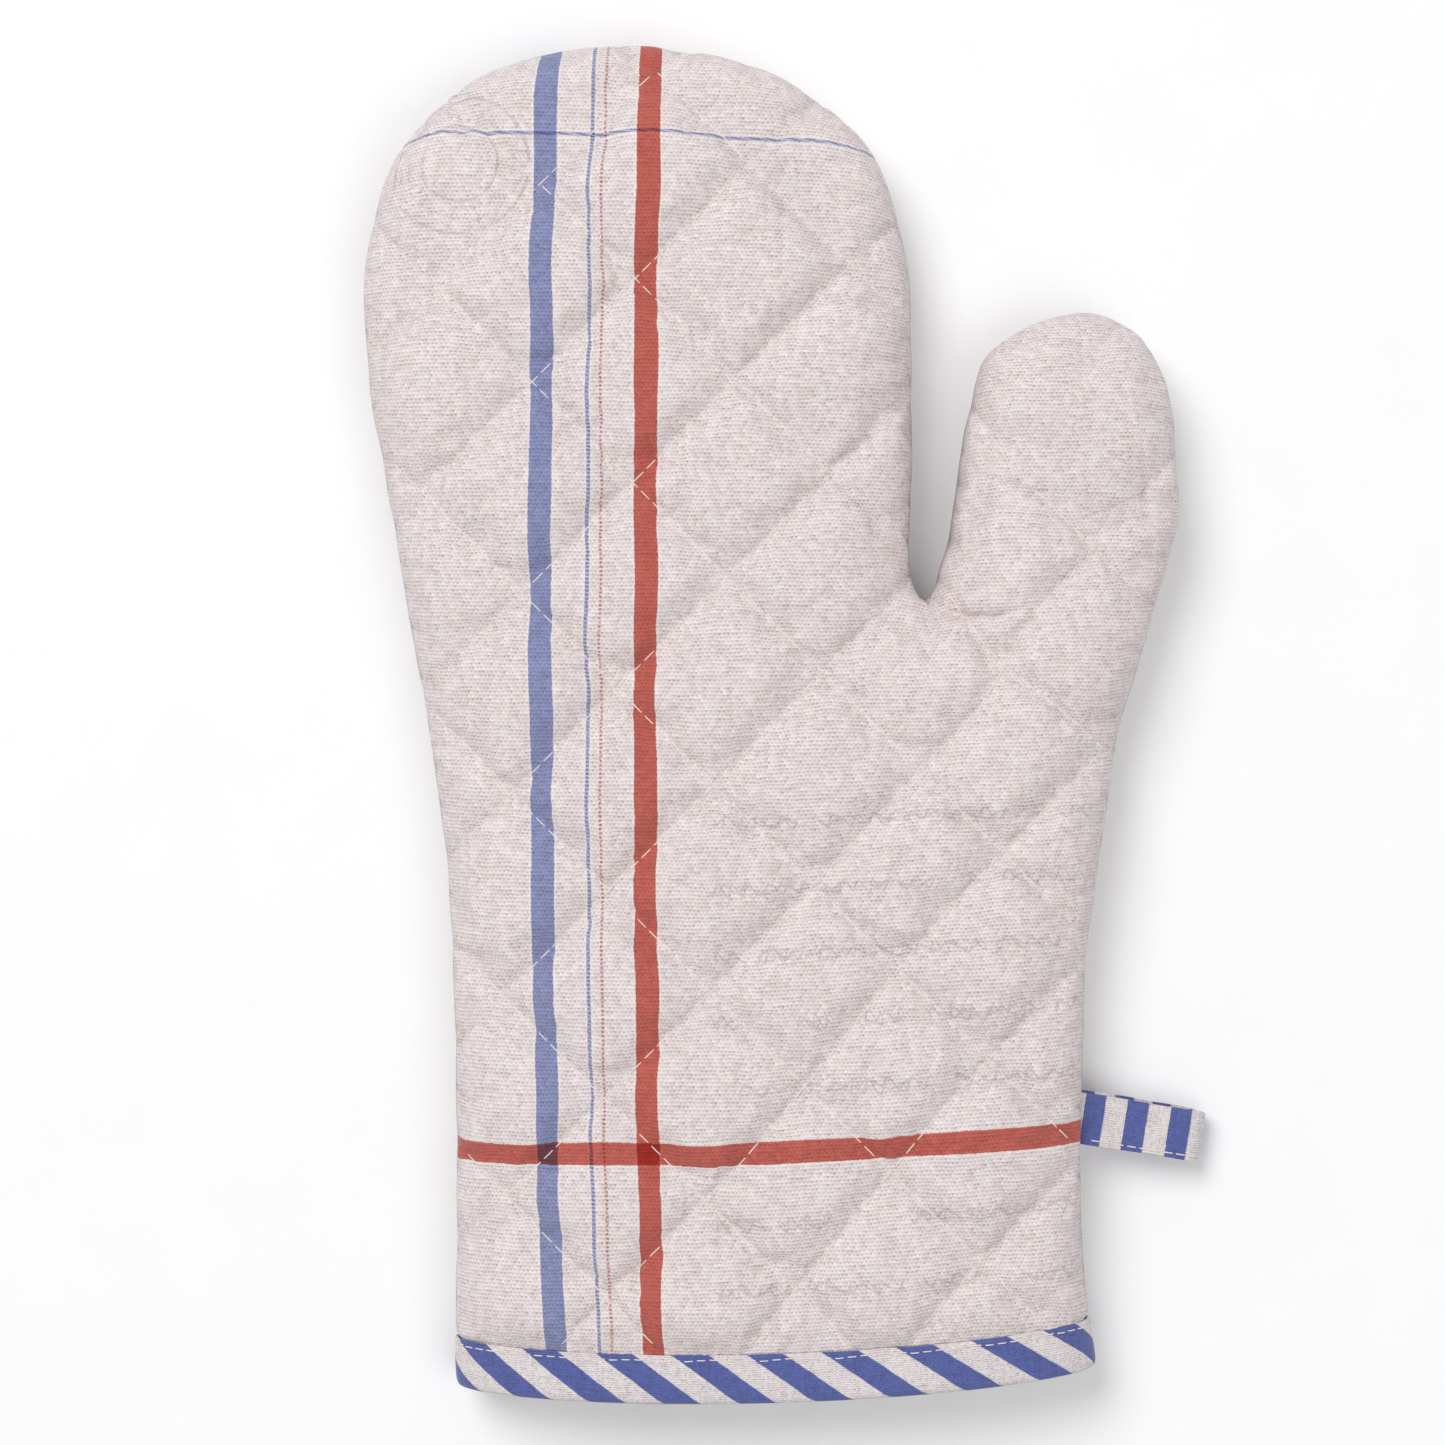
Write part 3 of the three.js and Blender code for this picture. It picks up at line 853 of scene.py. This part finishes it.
def striped_tape(name, angle, period, phase, share=0.5):
    """Woven stripes. angle is that of the stripes' normal from s, and share how much of a period is blue."""
    shader = Shader(name, 0.85, 0.25)
    s, t = shader.cloth()
    light, pit, height = weave(shader, s, t, 0.5, 0.5)
    tone = 0.66 + light * 0.48 - pit * 0.5
    wander = (shader.noise(shader.vector(s, t), 0.35, 2.0) - 0.5) * 0.35
    across = s * math.cos(angle) + t * math.sin(angle)
    across = shader.math("FRACT", (across + wander) * (1 / period) + phase)
    mask = shader.band(across, share / 2, share / 2, 0.02)
    rib = shader.ridge(s * math.cos(angle) + t * math.sin(angle), 0.55)
    tone = tone * (0.84 + rib * 0.18)
    colour = shader.scale_colour(shader.mix(mask, WHITE, BLUE), tone)
    return shader.finish(colour, height + rib * 0.4, 0.12, 0.7)


def floor_material():
    shader = Shader("floor_paint", 0.9)
    grain = shader.noise(shader.place(), 40.0, 3.0)
    tone = 0.985 + grain * 0.03
    return shader.finish(shader.scale_colour(linear(245, 245, 246), tone))


def cloth_coordinates(xy, side):
    """Where each point of a panel lies on the printed cloth: the cloth is a little askew on the mitt."""
    d, inward = seam_distance(xy, with_way=True)
    x, y = (xy - inward * wrap(d, side)[:, None]).T
    sway = np.interp(y, [-150, -100, -50, 0, 50, 100, 150], [-1.9, -0.2, 0.9, 1.5, 1.7, 1.3, 0.2])
    narrow = 1 + 0.05 * smoothstep(20, -140, y)
    jog = 0.45 * wave(x, y, 13, 5) + 0.1 * wave(x, y, 5, 6)
    s = (x + 54 + sway + jog) * narrow
    top = np.interp(x, [-90, -75, -30, 0, 20, 28], [-0.9, 0.6, 0.2, -1.4, -3.4, -5.6])
    low = np.interp(x, [-75, -55, -10, 15, 45, 66], [0.4, 0.0, 0.0, 1.2, 3.0, 4.0])
    return np.column_stack([s, y - smoothstep(60, 150, y) * top - smoothstep(60, -60, y) * low])


# ------------------------------------------------------------------------------------------ panels

def assign(obj, body, slot, *nodes):
    """Puts a piece on a body in the place of these parts, which it hides. slot, a name for what it is made
    of, is not used.
    """
    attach(obj, body)
    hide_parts(*nodes)


def tucked_edge(points, faces, uv, side):
    """Adds the cloth's turned-in edge along the seam, behind the visible edge."""
    loop = boundary_loop(faces)
    on_seam = set(i for i in loop if cuff_height(points[i:i + 1, :2])[0] > 0.2)
    start = next(k for k, i in enumerate(loop) if i in on_seam and loop[k - 1] not in on_seam)
    seam = [i for i in loop[start:] + loop[:start] if i in on_seam]
    line = points[seam]
    inward = left_of(line[:, :2])
    if points_inside(line[:, :2] + inward * 0.4).mean() < 0.5:
        inward = -inward
    verts, cloth, faces = list(points), list(uv), list(faces)
    previous = seam
    for depth, drop in ((0.5, 0.12), (1.8, 0.15), (4.0, 0.15)):
        first = len(verts)
        for k in range(len(seam)):
            verts.append(np.array([*(line[k, :2] + inward[k] * depth), SEAM_Z + side * drop]))
            cloth.append(uv[seam[k]])
        row = list(range(first, first + len(seam)))
        for k in range(len(seam) - 1):
            faces.append((previous[k + 1], previous[k], row[k], row[k + 1]))
        previous = row
    return np.array(verts), faces, np.array(cloth)


def thicken(obj, thickness):
    """Gives a sheet its thickness, on its inner side."""
    thick = obj.modifiers.new("Thickness", "SOLIDIFY")
    thick.thickness = thickness * MM
    thick.offset = -1
    apply_modifiers(obj)


def cover(name, points, faces, uv, side, material):
    """The printed cover of a panel, with its edge turned in and the thickness of its cloth."""
    points, faces, uv = tucked_edge(points, faces, uv, side)
    if side < 0:
        faces = [tuple(f)[::-1] for f in faces]
    obj = new_object(name, points, faces, material, uv)
    thicken(obj, CLOTH)
    return obj


def layer_depth(xy, shows):
    """Thickness from the cover's outside to the lining, thin on the stitching and at the seam."""
    depth = np.minimum(1.7 + shows * puff(xy) * 3.4, 1.4 + 0.28 * seam_distance(xy))
    bound = smoothstep(BINDING_HEIGHT + 6, BINDING_HEIGHT, cuff_height(xy))
    return depth + (3.0 - depth) * bound


def closed_between(outer, inner, faces, side):
    """A closed solid between two surfaces with the same faces."""
    count = len(outer)
    loop = boundary_loop(faces)
    out = [tuple(f) for f in faces] + [tuple(i + count for i in f)[::-1] for f in faces]
    for a, b in zip(loop, loop[1:] + loop[:1]):
        out.append((b, a, a + count, b + count))
    if side < 0:
        out = [f[::-1] for f in out]
    return np.vstack([outer, inner]), out


def quilting_stitches(name, cover_obj, lines_xy, side, material, length=3.4, gap=0.5):
    """Separate stitches of thread along lines on a panel's surface."""
    mesh = cover_obj.data
    tree = BVHTree.FromPolygons([v.co for v in mesh.vertices], [p.vertices[:] for p in mesh.polygons])
    lifts = (-0.3, 0.02, 0.09, 0.09, 0.02, -0.3)
    parts = []
    for number, line in enumerate(lines_xy):
        run = run_along(line)
        at, k = 0.4, 0
        while at + length < run[-1]:
            stretch = length * (1 + 0.12 * math.sin(number * 3.1 + k * 2.3))
            path = []
            for (x, y), lift in zip(at_distance(at + stretch * STITCH_SHARES, run, line), lifts):
                hit = tree.ray_cast(Vector((x * MM, y * MM, 0.05 * side)), Vector((0, 0, -side)))
                if hit[0] is None:
                    break
                path.append((x, y, max(hit[0].z / MM + side * lift, TABLE_Z + 0.21)))
            if len(path) == len(lifts):
                parts.append(tube(path, 0.155))
            at += stretch + gap
            k += 1
    return new_object(name, *joined(parts), material)


def quilting_lines():
    """Each quilting line on a panel, as the points of it that lie on the mitt above the binding."""
    lines = []
    for values, other, order in ((FALLING_LINES, RISING_LINES, 1), (RISING_LINES, FALLING_LINES, -1)):
        run = np.arange(min(other), max(other), 0.8)
        for value in values:
            fixed = np.full_like(run, value)
            line = quilt_point(fixed, run) if order == 1 else quilt_point(run, fixed)
            on = points_inside(line) & (seam_distance(line) > 2.2) & (cuff_height(line) > BINDING_HEIGHT + 1)
            breaks = np.flatnonzero(np.diff(on.astype(int))) + 1
            for piece in np.split(np.arange(len(run)), breaks):
                if on[piece[0]] and len(piece) > 18:
                    lines.append(line[piece])
    return lines


def settled_panel(side, seed):
    """The outer surface of a panel after the cloth has settled, and how much of the quilting shows on it."""
    xy, faces = GRID
    points, shows = panel_surface(xy, faces, side)
    near = np.minimum(*line_distance(xy))
    stitched = (near < 0.3) & (seam_distance(xy) > 2.0)
    pinned = (seam_distance(xy) < 0.6) | (cuff_height(xy) < BINDING_HEIGHT + 0.8) | stitched
    pinned |= crotch_fold_share(xy) > 0.5
    oriented = faces if side > 0 else [f[::-1] for f in faces]
    settled = settle_cloth(points, oriented, pinned, 3.0 * side, 0.04, seed, 1.6)
    if side > 0:
        settled[:, 2] = np.minimum(settled[:, 2], TOP_Z + 0.6)
    else:
        flat = settled[:, 2] < TABLE_Z + 0.25
        settled[flat, 2] = TABLE_Z + 0.25 - 0.25 * np.tanh((TABLE_Z + 0.25 - settled[flat, 2]) / 0.9)
    return settled, shows


def build_panel(label, side, linen, seed):
    """Cover, wadding, lining and quilting of one panel."""
    xy, faces = GRID
    settled, shows = settled_panel(side, seed)
    uv = cloth_coordinates(xy, side)
    panel = cover(f"{label}_cover_cloth", settled, faces, uv, side, linen)
    assign(panel, "mitt", "printed_linen", f"{label}_cover")

    normals = vertex_normals(settled, faces) * side
    depth = layer_depth(xy, shows)[:, None]
    outer = settled - normals * (CLOTH + 0.2)
    lower = settled - normals * np.maximum(depth - 0.5, CLOTH + 0.5)
    wad_points, wad_faces = closed_between(outer, lower, faces, side)
    wad = new_object(f"{label}_wadding_layer", wad_points, wad_faces, FLEECE, np.vstack([uv, uv]))
    assign(wad, "mitt", "wadding", f"{label}_wadding")

    lining_faces = faces if side < 0 else [f[::-1] for f in faces]
    lining = new_object(f"{label}_lining_cloth", settled - normals * depth, lining_faces, PLAIN_COTTON, uv)
    thicken(lining, LINING)
    assign(lining, "mitt", "lining", f"{label}_lining")

    stitches = quilting_stitches(f"{label}_quilting_stitches", panel, quilting_lines(), side, THREAD)
    assign(stitches, "mitt", "thread", f"{label}_quilting_thread", f"{label}_thumb_thread")


# ------------------------------------------------------------------------------------------ cuff binding

def cuff_stations():
    """Points round the cuff's edge, front from left to right and then back from right to left: (x, side)."""
    left, right = OUTLINE[0, 0], OUTLINE[-1, 0]
    turn = np.array([0.02, 0.3, 0.9, 1.8, 3.0, 4.6, 6.6, 9.0])
    middle = np.arange(left + 11, right - 10, 1.5)
    x = np.r_[left + turn, middle, right - turn[::-1]]
    return np.r_[x, x[::-1]], np.r_[np.ones(len(x)), -np.ones(len(x))]


def binding_surface():
    """The outer surface that the binding follows: heights, and points and outward normals at each station
    and height."""
    x0, sides = cuff_stations()
    left, right = OUTLINE[0, 0], OUTLINE[-1, 0]
    share = (x0 - left) / (right - left)
    heights = np.linspace(-1.0, BINDING_HEIGHT + 1, 25)
    left_line, right_line = OUTLINE[:30], OUTLINE[-30:][::-1]
    points = np.zeros((len(x0), len(heights), 3))
    for k, high in enumerate(heights):
        y = cuff_y(x0) + high
        xl = np.interp(y, left_line[:, 1], left_line[:, 0])
        xr = np.interp(y, right_line[:, 1], right_line[:, 0])
        x = xl + share * (xr - xl)
        d = np.minimum(x - xl, xr - x)
        front, back = FRONT_RISE * profile(d, FRONT_REACH) * 0.95, BACK_DROP * profile(d, BACK_REACH)
        z = np.where(sides > 0, front, back)
        points[:, k] = np.column_stack([x, y, SEAM_Z + sides * (z + 0.2)])
    along = np.roll(points, -1, axis=0) - np.roll(points, 1, axis=0)
    outward = unit(np.cross(along, [0.0, 1.0, 0.0]))
    if outward[len(x0) // 4, 0, 2] < 0:
        outward = -outward
    for _ in range(3):
        outward = unit(outward + 0.5 * (np.roll(outward, 1, axis=0) + np.roll(outward, -1, axis=0)))
    return heights, points, outward


def at_height(high, heights, surface):
    """A row of points or normals of the binding's surface, at one height or at one for each station."""
    high = np.broadcast_to(high, len(surface))
    return np.array([[np.interp(h, heights, column) for column in line.T] for h, line in zip(high, surface)])


def binding(material):
    """The bias tape folded over the raw edges, as a closed ring with a folded section."""
    heights, points, outward = binding_surface()
    h = BINDING_HEIGHT
    section = [(h - 0.7, -0.75), (h - 0.15, -0.6), (h, -0.3), (h - 0.15, -0.02), (h - 0.8, 0.1),
               (h - 1.6, 0.0), (h - 2.8, 0.12), (h * 0.55, 0.2), (h * 0.3, 0.2), (1.6, 0.14), (0.7, -0.1),
               (0.15, -0.6), (-0.1, -1.4), (-0.15, -2.2), (0.1, -3.0), (0.6, -3.6), (1.5, -3.9),
               (h * 0.4, -4.0), (h * 0.7, -4.0), (h - 0.6, -3.95), (h - 0.2, -3.8), (h - 0.15, -3.5),
               (h - 0.6, -3.3), (h * 0.5, -3.25), (1.9, -3.1), (1.1, -2.5), (0.9, -1.9), (1.2, -1.2),
               (2.2, -0.78), (h * 0.5, -0.72)]
    ring, count = len(points), len(section)
    run = run_along(points[:, 12])
    rows, level = [], []
    across = 0.0
    for k, (high, off) in enumerate(section):
        wobble = 0.10 * np.array([noise.noise(Vector((a / 5.5, k * 0.13, 3.0))) for a in run])
        edge = np.array([noise.noise(Vector((a / 8.0, 9.0, 5.0))) for a in run]) * 0.22 * (high > h - 3)
        high_at = np.clip(high + edge, heights[0], heights[-1])
        base, normal = (at_height(high_at, heights, surface) for surface in (points, outward))
        rows.append(base + unit(normal) * (off + wobble * (off > -0.2))[:, None])
        if k:
            across += math.hypot(section[k][0] - section[k - 1][0], section[k][1] - section[k - 1][1])
        level.append(h - across)
    verts = np.vstack(rows)
    verts[:, 2] = np.maximum(verts[:, 2], TABLE_Z + 0.02)
    corners = []
    way_round = np.r_[run, run[-1] + np.linalg.norm(points[0, 12] - points[-1, 12])]
    for t0, t1 in zip(level, level[1:] + [level[-1] - 5]):
        for s0, s1 in zip(way_round, way_round[1:]):
            corners += [(s0, t0), (s1, t0), (s1, t1), (s0, t1)]
    faces = faces_between(count, ring, closed=True)
    obj = new_object("cuff_binding_tape", verts, faces, material, np.zeros((len(verts), 2)))
    obj.data.uv_layers["Cloth"].data.foreach_set("uv", np.array(corners, np.float32).ravel())
    smooth_out(obj, 1)
    return obj


def binding_stitches(material, length=2.1, pitch=2.75):
    """A row of topstitching just below the top edge of the binding, round the front and the back."""
    heights, points, outward = binding_surface()
    high = BINDING_HEIGHT - 1.3
    base, normal = at_height(high, heights, points), unit(at_height(high, heights, outward))
    base, normal = np.vstack([base, base[:1]]), np.vstack([normal, normal[:1]])
    run = run_along(base)
    lifts = np.array([-0.3, 0.1, 0.2, 0.2, 0.1, -0.3])[:, None]
    parts = []
    for k, where in enumerate(stitch_points(run, length, pitch, 0.6)):
        path = at_distance(where, run, base) + at_distance(where, run, normal) * lifts
        path[:, 1] += 0.12 * np.sin(where / 3.0) + 0.1 * math.sin(k * 2.1)
        path[:, 2] = np.maximum(path[:, 2], TABLE_Z + 0.2)
        parts.append(tube(path, 0.14))
    return new_object("binding_topstitch", *joined(parts), material)


def seam_stitches(material):
    """Ladder stitches that show in the crease between the two covers."""
    run = run_along(OUTLINE)
    parts = []
    for at in np.arange(14.0, run[-1] - 14, 3.1):
        p, n = at_distance([at], run, OUTLINE)[0], at_distance([at], run, INWARD)[0]
        q = at_distance([at + 0.9], run, OUTLINE)[0]
        path = [(*(p + n * 0.9), SEAM_Z - 0.5), (*(p + n * 0.25), SEAM_Z - 0.3),
                (*((p + q) / 2 + n * 0.12), SEAM_Z), (*(q + n * 0.25), SEAM_Z + 0.3),
                (*(q + n * 0.9), SEAM_Z + 0.5)]
        parts.append(tube(path, 0.15, 5))
    return new_object("side_seam_stitches", *joined(parts), material)


# ------------------------------------------------------------------------------------------ hanging loop

LOOP_LENGTH = 27.4
LOOP_WIDTH = 11.3
LOOP_TILT = math.radians(-9.7)
LOOP_TAPE = 1.0  # thickness of its tape
LOOP_HALF = 3.5  # half the loop's height at its fold, to the middle of the tape
LOOP_ROOT_HALF = 0.62  # the same at its root


def loop_frame():
    """The loop's own directions at rest: along it, across it and up from it."""
    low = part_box("hanging_loop")[0][2] / MM
    droop = math.asin((SEAM_Z - LOOP_HALF - LOOP_TAPE / 2 - low - 0.2) / (LOOP_LENGTH - LOOP_HALF))
    flat = ((math.cos(LOOP_TILT), math.sin(LOOP_TILT)), (-math.sin(LOOP_TILT), math.cos(LOOP_TILT)))
    along, across = (np.array([x * math.cos(droop), y, -x * math.sin(droop)]) for x, y in flat)
    return along, across, np.cross(along, across)


def loop_path():
    """Points (along, up) of the middle of the tape, from its upper root round the fold to its lower root, and
    the normals there."""
    round_at = LOOP_LENGTH - LOOP_HALF - LOOP_TAPE / 2
    along = np.linspace(-3.2, round_at, 22)
    open_share = smoothstep(1.5, round_at, along)
    upper = np.column_stack([along, LOOP_ROOT_HALF + (LOOP_HALF - LOOP_ROOT_HALF) * open_share])
    turn = np.linspace(math.pi / 2, -math.pi / 2, 13)[1:-1]
    fold = np.column_stack([round_at + LOOP_HALF * np.cos(turn), LOOP_HALF * np.sin(turn)])
    path = np.vstack([upper, fold, upper[::-1] * [1, -1]])
    return path, left_of(path)


def hanging_loop(material):
    """The folded tape, with a rounded section and its two long edges a little thicker."""
    along, across, up = loop_frame()
    path, normal = loop_path()
    run = run_along(path)
    half, round_at = LOOP_WIDTH / 2, path[:, 0].max()
    side = np.array([-1.0, -0.985, -0.93, -0.8, -0.6, -0.35, 0.0, 0.35, 0.6, 0.8, 0.93, 0.985, 1.0])
    thick = LOOP_TAPE / 2 * np.array([0.35, 0.8, 1.0, 0.8, 0.9, 0.95, 0.95, 0.95, 0.9, 0.8, 1.0, 0.8, 0.35])
    section = [(w * half, h) for w, h in zip(side, thick)]
    section += [(w, -h) for w, h in section[::-1]]
    verts, cloth = [], []
    for k, (p, n) in enumerate(zip(path, normal)):
        for w, h in section:
            wide = w * (1 + 0.015 * math.sin(run[k] / 4.0)) + 0.15 * noise.noise(Vector((run[k] / 7, 0, 1)))
            wide += 0.5 * smoothstep(0.45, 0.75, run[k] / run[-1])
            wide -= 0.35 * w / half * smoothstep(3.0, 0.0, round_at - p[0])
            lift = h + 0.12 * noise.noise(Vector((run[k] / 6, w / 5, 2)))
            verts.append(HINGE + along * (p[0] + n[0] * lift) + across * wide + up * (p[1] + n[1] * lift))
            cloth.append((run[k], w))
    verts = np.array(verts)
    verts[:, 2] = np.maximum(verts[:, 2], TABLE_Z + 0.05)
    size, last = len(section), (len(path) - 1) * len(section)
    # The two ends are wound against the sides, which keeps their edges sharp in the rounding.
    faces = faces_between(len(path), size) + [tuple(range(size)), tuple(range(last, last + size))[::-1]]
    obj = new_object("hanging_loop_tape", verts, faces, material, np.array(cloth))
    smooth_out(obj, 2)
    return obj


def loop_stitches(material, length=2.2, pitch=2.8):
    """The topstitching along the loop's lower edge."""
    along, across, up = loop_frame()
    path, normal = loop_path()
    run = run_along(path)
    lifts = np.array([0.2, 0.5, 0.6, 0.6, 0.5, 0.2])[:, None]
    edge = across * (1.1 - LOOP_WIDTH / 2)
    parts = []
    for where in stitch_points(run, length, pitch, 4.2, 4.0):
        flat = at_distance(where, run, path) + at_distance(where, run, normal) * lifts
        stitch = HINGE + edge + flat[:, :1] * along + flat[:, 1:] * up
        stitch[:, 2] = np.maximum(stitch[:, 2], TABLE_Z + 0.2)
        parts.append(tube(stitch, 0.15))
    return new_object("loop_topstitch", *joined(parts), material)


# ------------------------------------------------------------------------------------------ camera and lights

FRAME_WIDTH = 320.0  # how much the picture shows, from side to side
FRAME_MIDDLE = -14.4


def add_camera():
    """Straight above, framed on the mitt without its loop."""
    data = bpy.data.cameras.new("camera")
    data.lens = 100
    data.sensor_width = 36
    camera = bpy.data.objects.new("camera", data)
    height = SEAM_Z + 2 + FRAME_WIDTH * data.lens / data.sensor_width
    camera.location = (FRAME_MIDDLE * MM, 0.0, height * MM)
    bpy.context.scene.collection.objects.link(camera)
    bpy.context.scene.camera = camera


def add_light(name, place, size, watts):
    data = bpy.data.lights.new(name, "AREA")
    data.shape = "DISK"
    data.size = size
    data.energy = watts
    lamp = bpy.data.objects.new(name, data)
    lamp.location = place
    lamp.rotation_euler = (-Vector(place)).to_track_quat("-Z", "Y").to_euler()
    bpy.context.scene.collection.objects.link(lamp)


def add_studio():
    world = bpy.data.worlds.new("studio")
    world.use_nodes = True
    background = world.node_tree.nodes["Background"]
    background.inputs["Color"].default_value = (1.0, 1.0, 1.0, 1.0)
    background.inputs["Strength"].default_value = 0.46
    bpy.context.scene.world = world
    add_light("key", (-1.15, 1.45, 2.45), 1.8, 54.0)
    add_light("fill", (0.9, -0.7, 2.3), 1.8, 16.0)
    mesh = bpy.data.meshes.new("floor")
    mesh.from_pydata([(-3, -3, 0), (3, -3, 0), (3, 3, 0), (-3, 3, 0)], [], [(0, 1, 2, 3)])
    mesh.materials.append(floor_material())
    floor = bpy.data.objects.new("floor", mesh)
    bpy.context.scene.collection.objects.link(floor)
    bpy.context.scene.view_settings.view_transform = "Standard"


# ------------------------------------------------------------------------------------------ assembly

add_camera()
add_studio()

THREAD = sewing_thread("sewing_thread")
PLAIN_COTTON = plain_cotton("lining_cotton", linear(232, 226, 214))
FLEECE = fleece("wadding_fibres")

# Stripes on the front: a wide blue one, a thin blue and a thin red one, and a wide red one, with a thin blue
# line across the fingers and a wide red one across the cuff.
FRONT_UPRIGHT = [(1.5, 4.9, PRINT_BLUE, 0), (11.7, 0.8, PRINT_BLUE, 0), (14.6, 0.6, PRINT_RED, 0.9),
                 (24.3, 5.0, PRINT_RED, 0)]
FRONT_LEVEL = [(128.6, 0.7, PRINT_BLUE, 0), (-94.2, 4.8, PRINT_RED, 0)]
BACK_SHIFT = -3.5  # the back panel is cut from another place in the print
BACK_UPRIGHT = [(centre + BACK_SHIFT, *rest) for centre, *rest in FRONT_UPRIGHT]
BACK_LEVEL = [(80.0, 0.7, PRINT_BLUE, 0), (-142.8, 4.8, PRINT_RED, 0)]
FRONT_LINEN = printed_linen("front_print", FRONT_UPRIGHT, FRONT_LEVEL, (38, 124, -136, -14), (-17, 122, 15))
BACK_LINEN = printed_linen("back_print", BACK_UPRIGHT, BACK_LEVEL, (34, 150, -70, 60), (60, 116, 15))

GRID = panel_grid()
SEAM_ALLOWANCE = 6.0
CUT_LINE = OUTLINE - INWARD * (SEAM_ALLOWANCE + wrap(np.array([0.0]), 1)[0])
PANEL_CUT = tuple((CUT_LINE.max(axis=0) - CUT_LINE.min(axis=0)) * MM)

build_panel("front", 1, FRONT_LINEN, 4)
build_panel("back", -1, BACK_LINEN, 9)

TAPE_ANGLE = math.radians(90 - 37)
tape = binding(striped_tape("bias_striped_tape", TAPE_ANGLE, 9.93, 0.0))
assign(tape, "mitt", "striped_tape", "cuff_binding")

assign(binding_stitches(THREAD), "mitt", "thread", "cuff_topstitch")
assign(seam_stitches(THREAD), "mitt", "thread", "side_seam_thread")

loop = hanging_loop(striped_tape("loop_striped_tape", 0.0, 9.9, 0.863))
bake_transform(loop)
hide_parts("hanging_loop")

assign(loop_stitches(THREAD), "loop", "thread", "loop_edge_stitch")
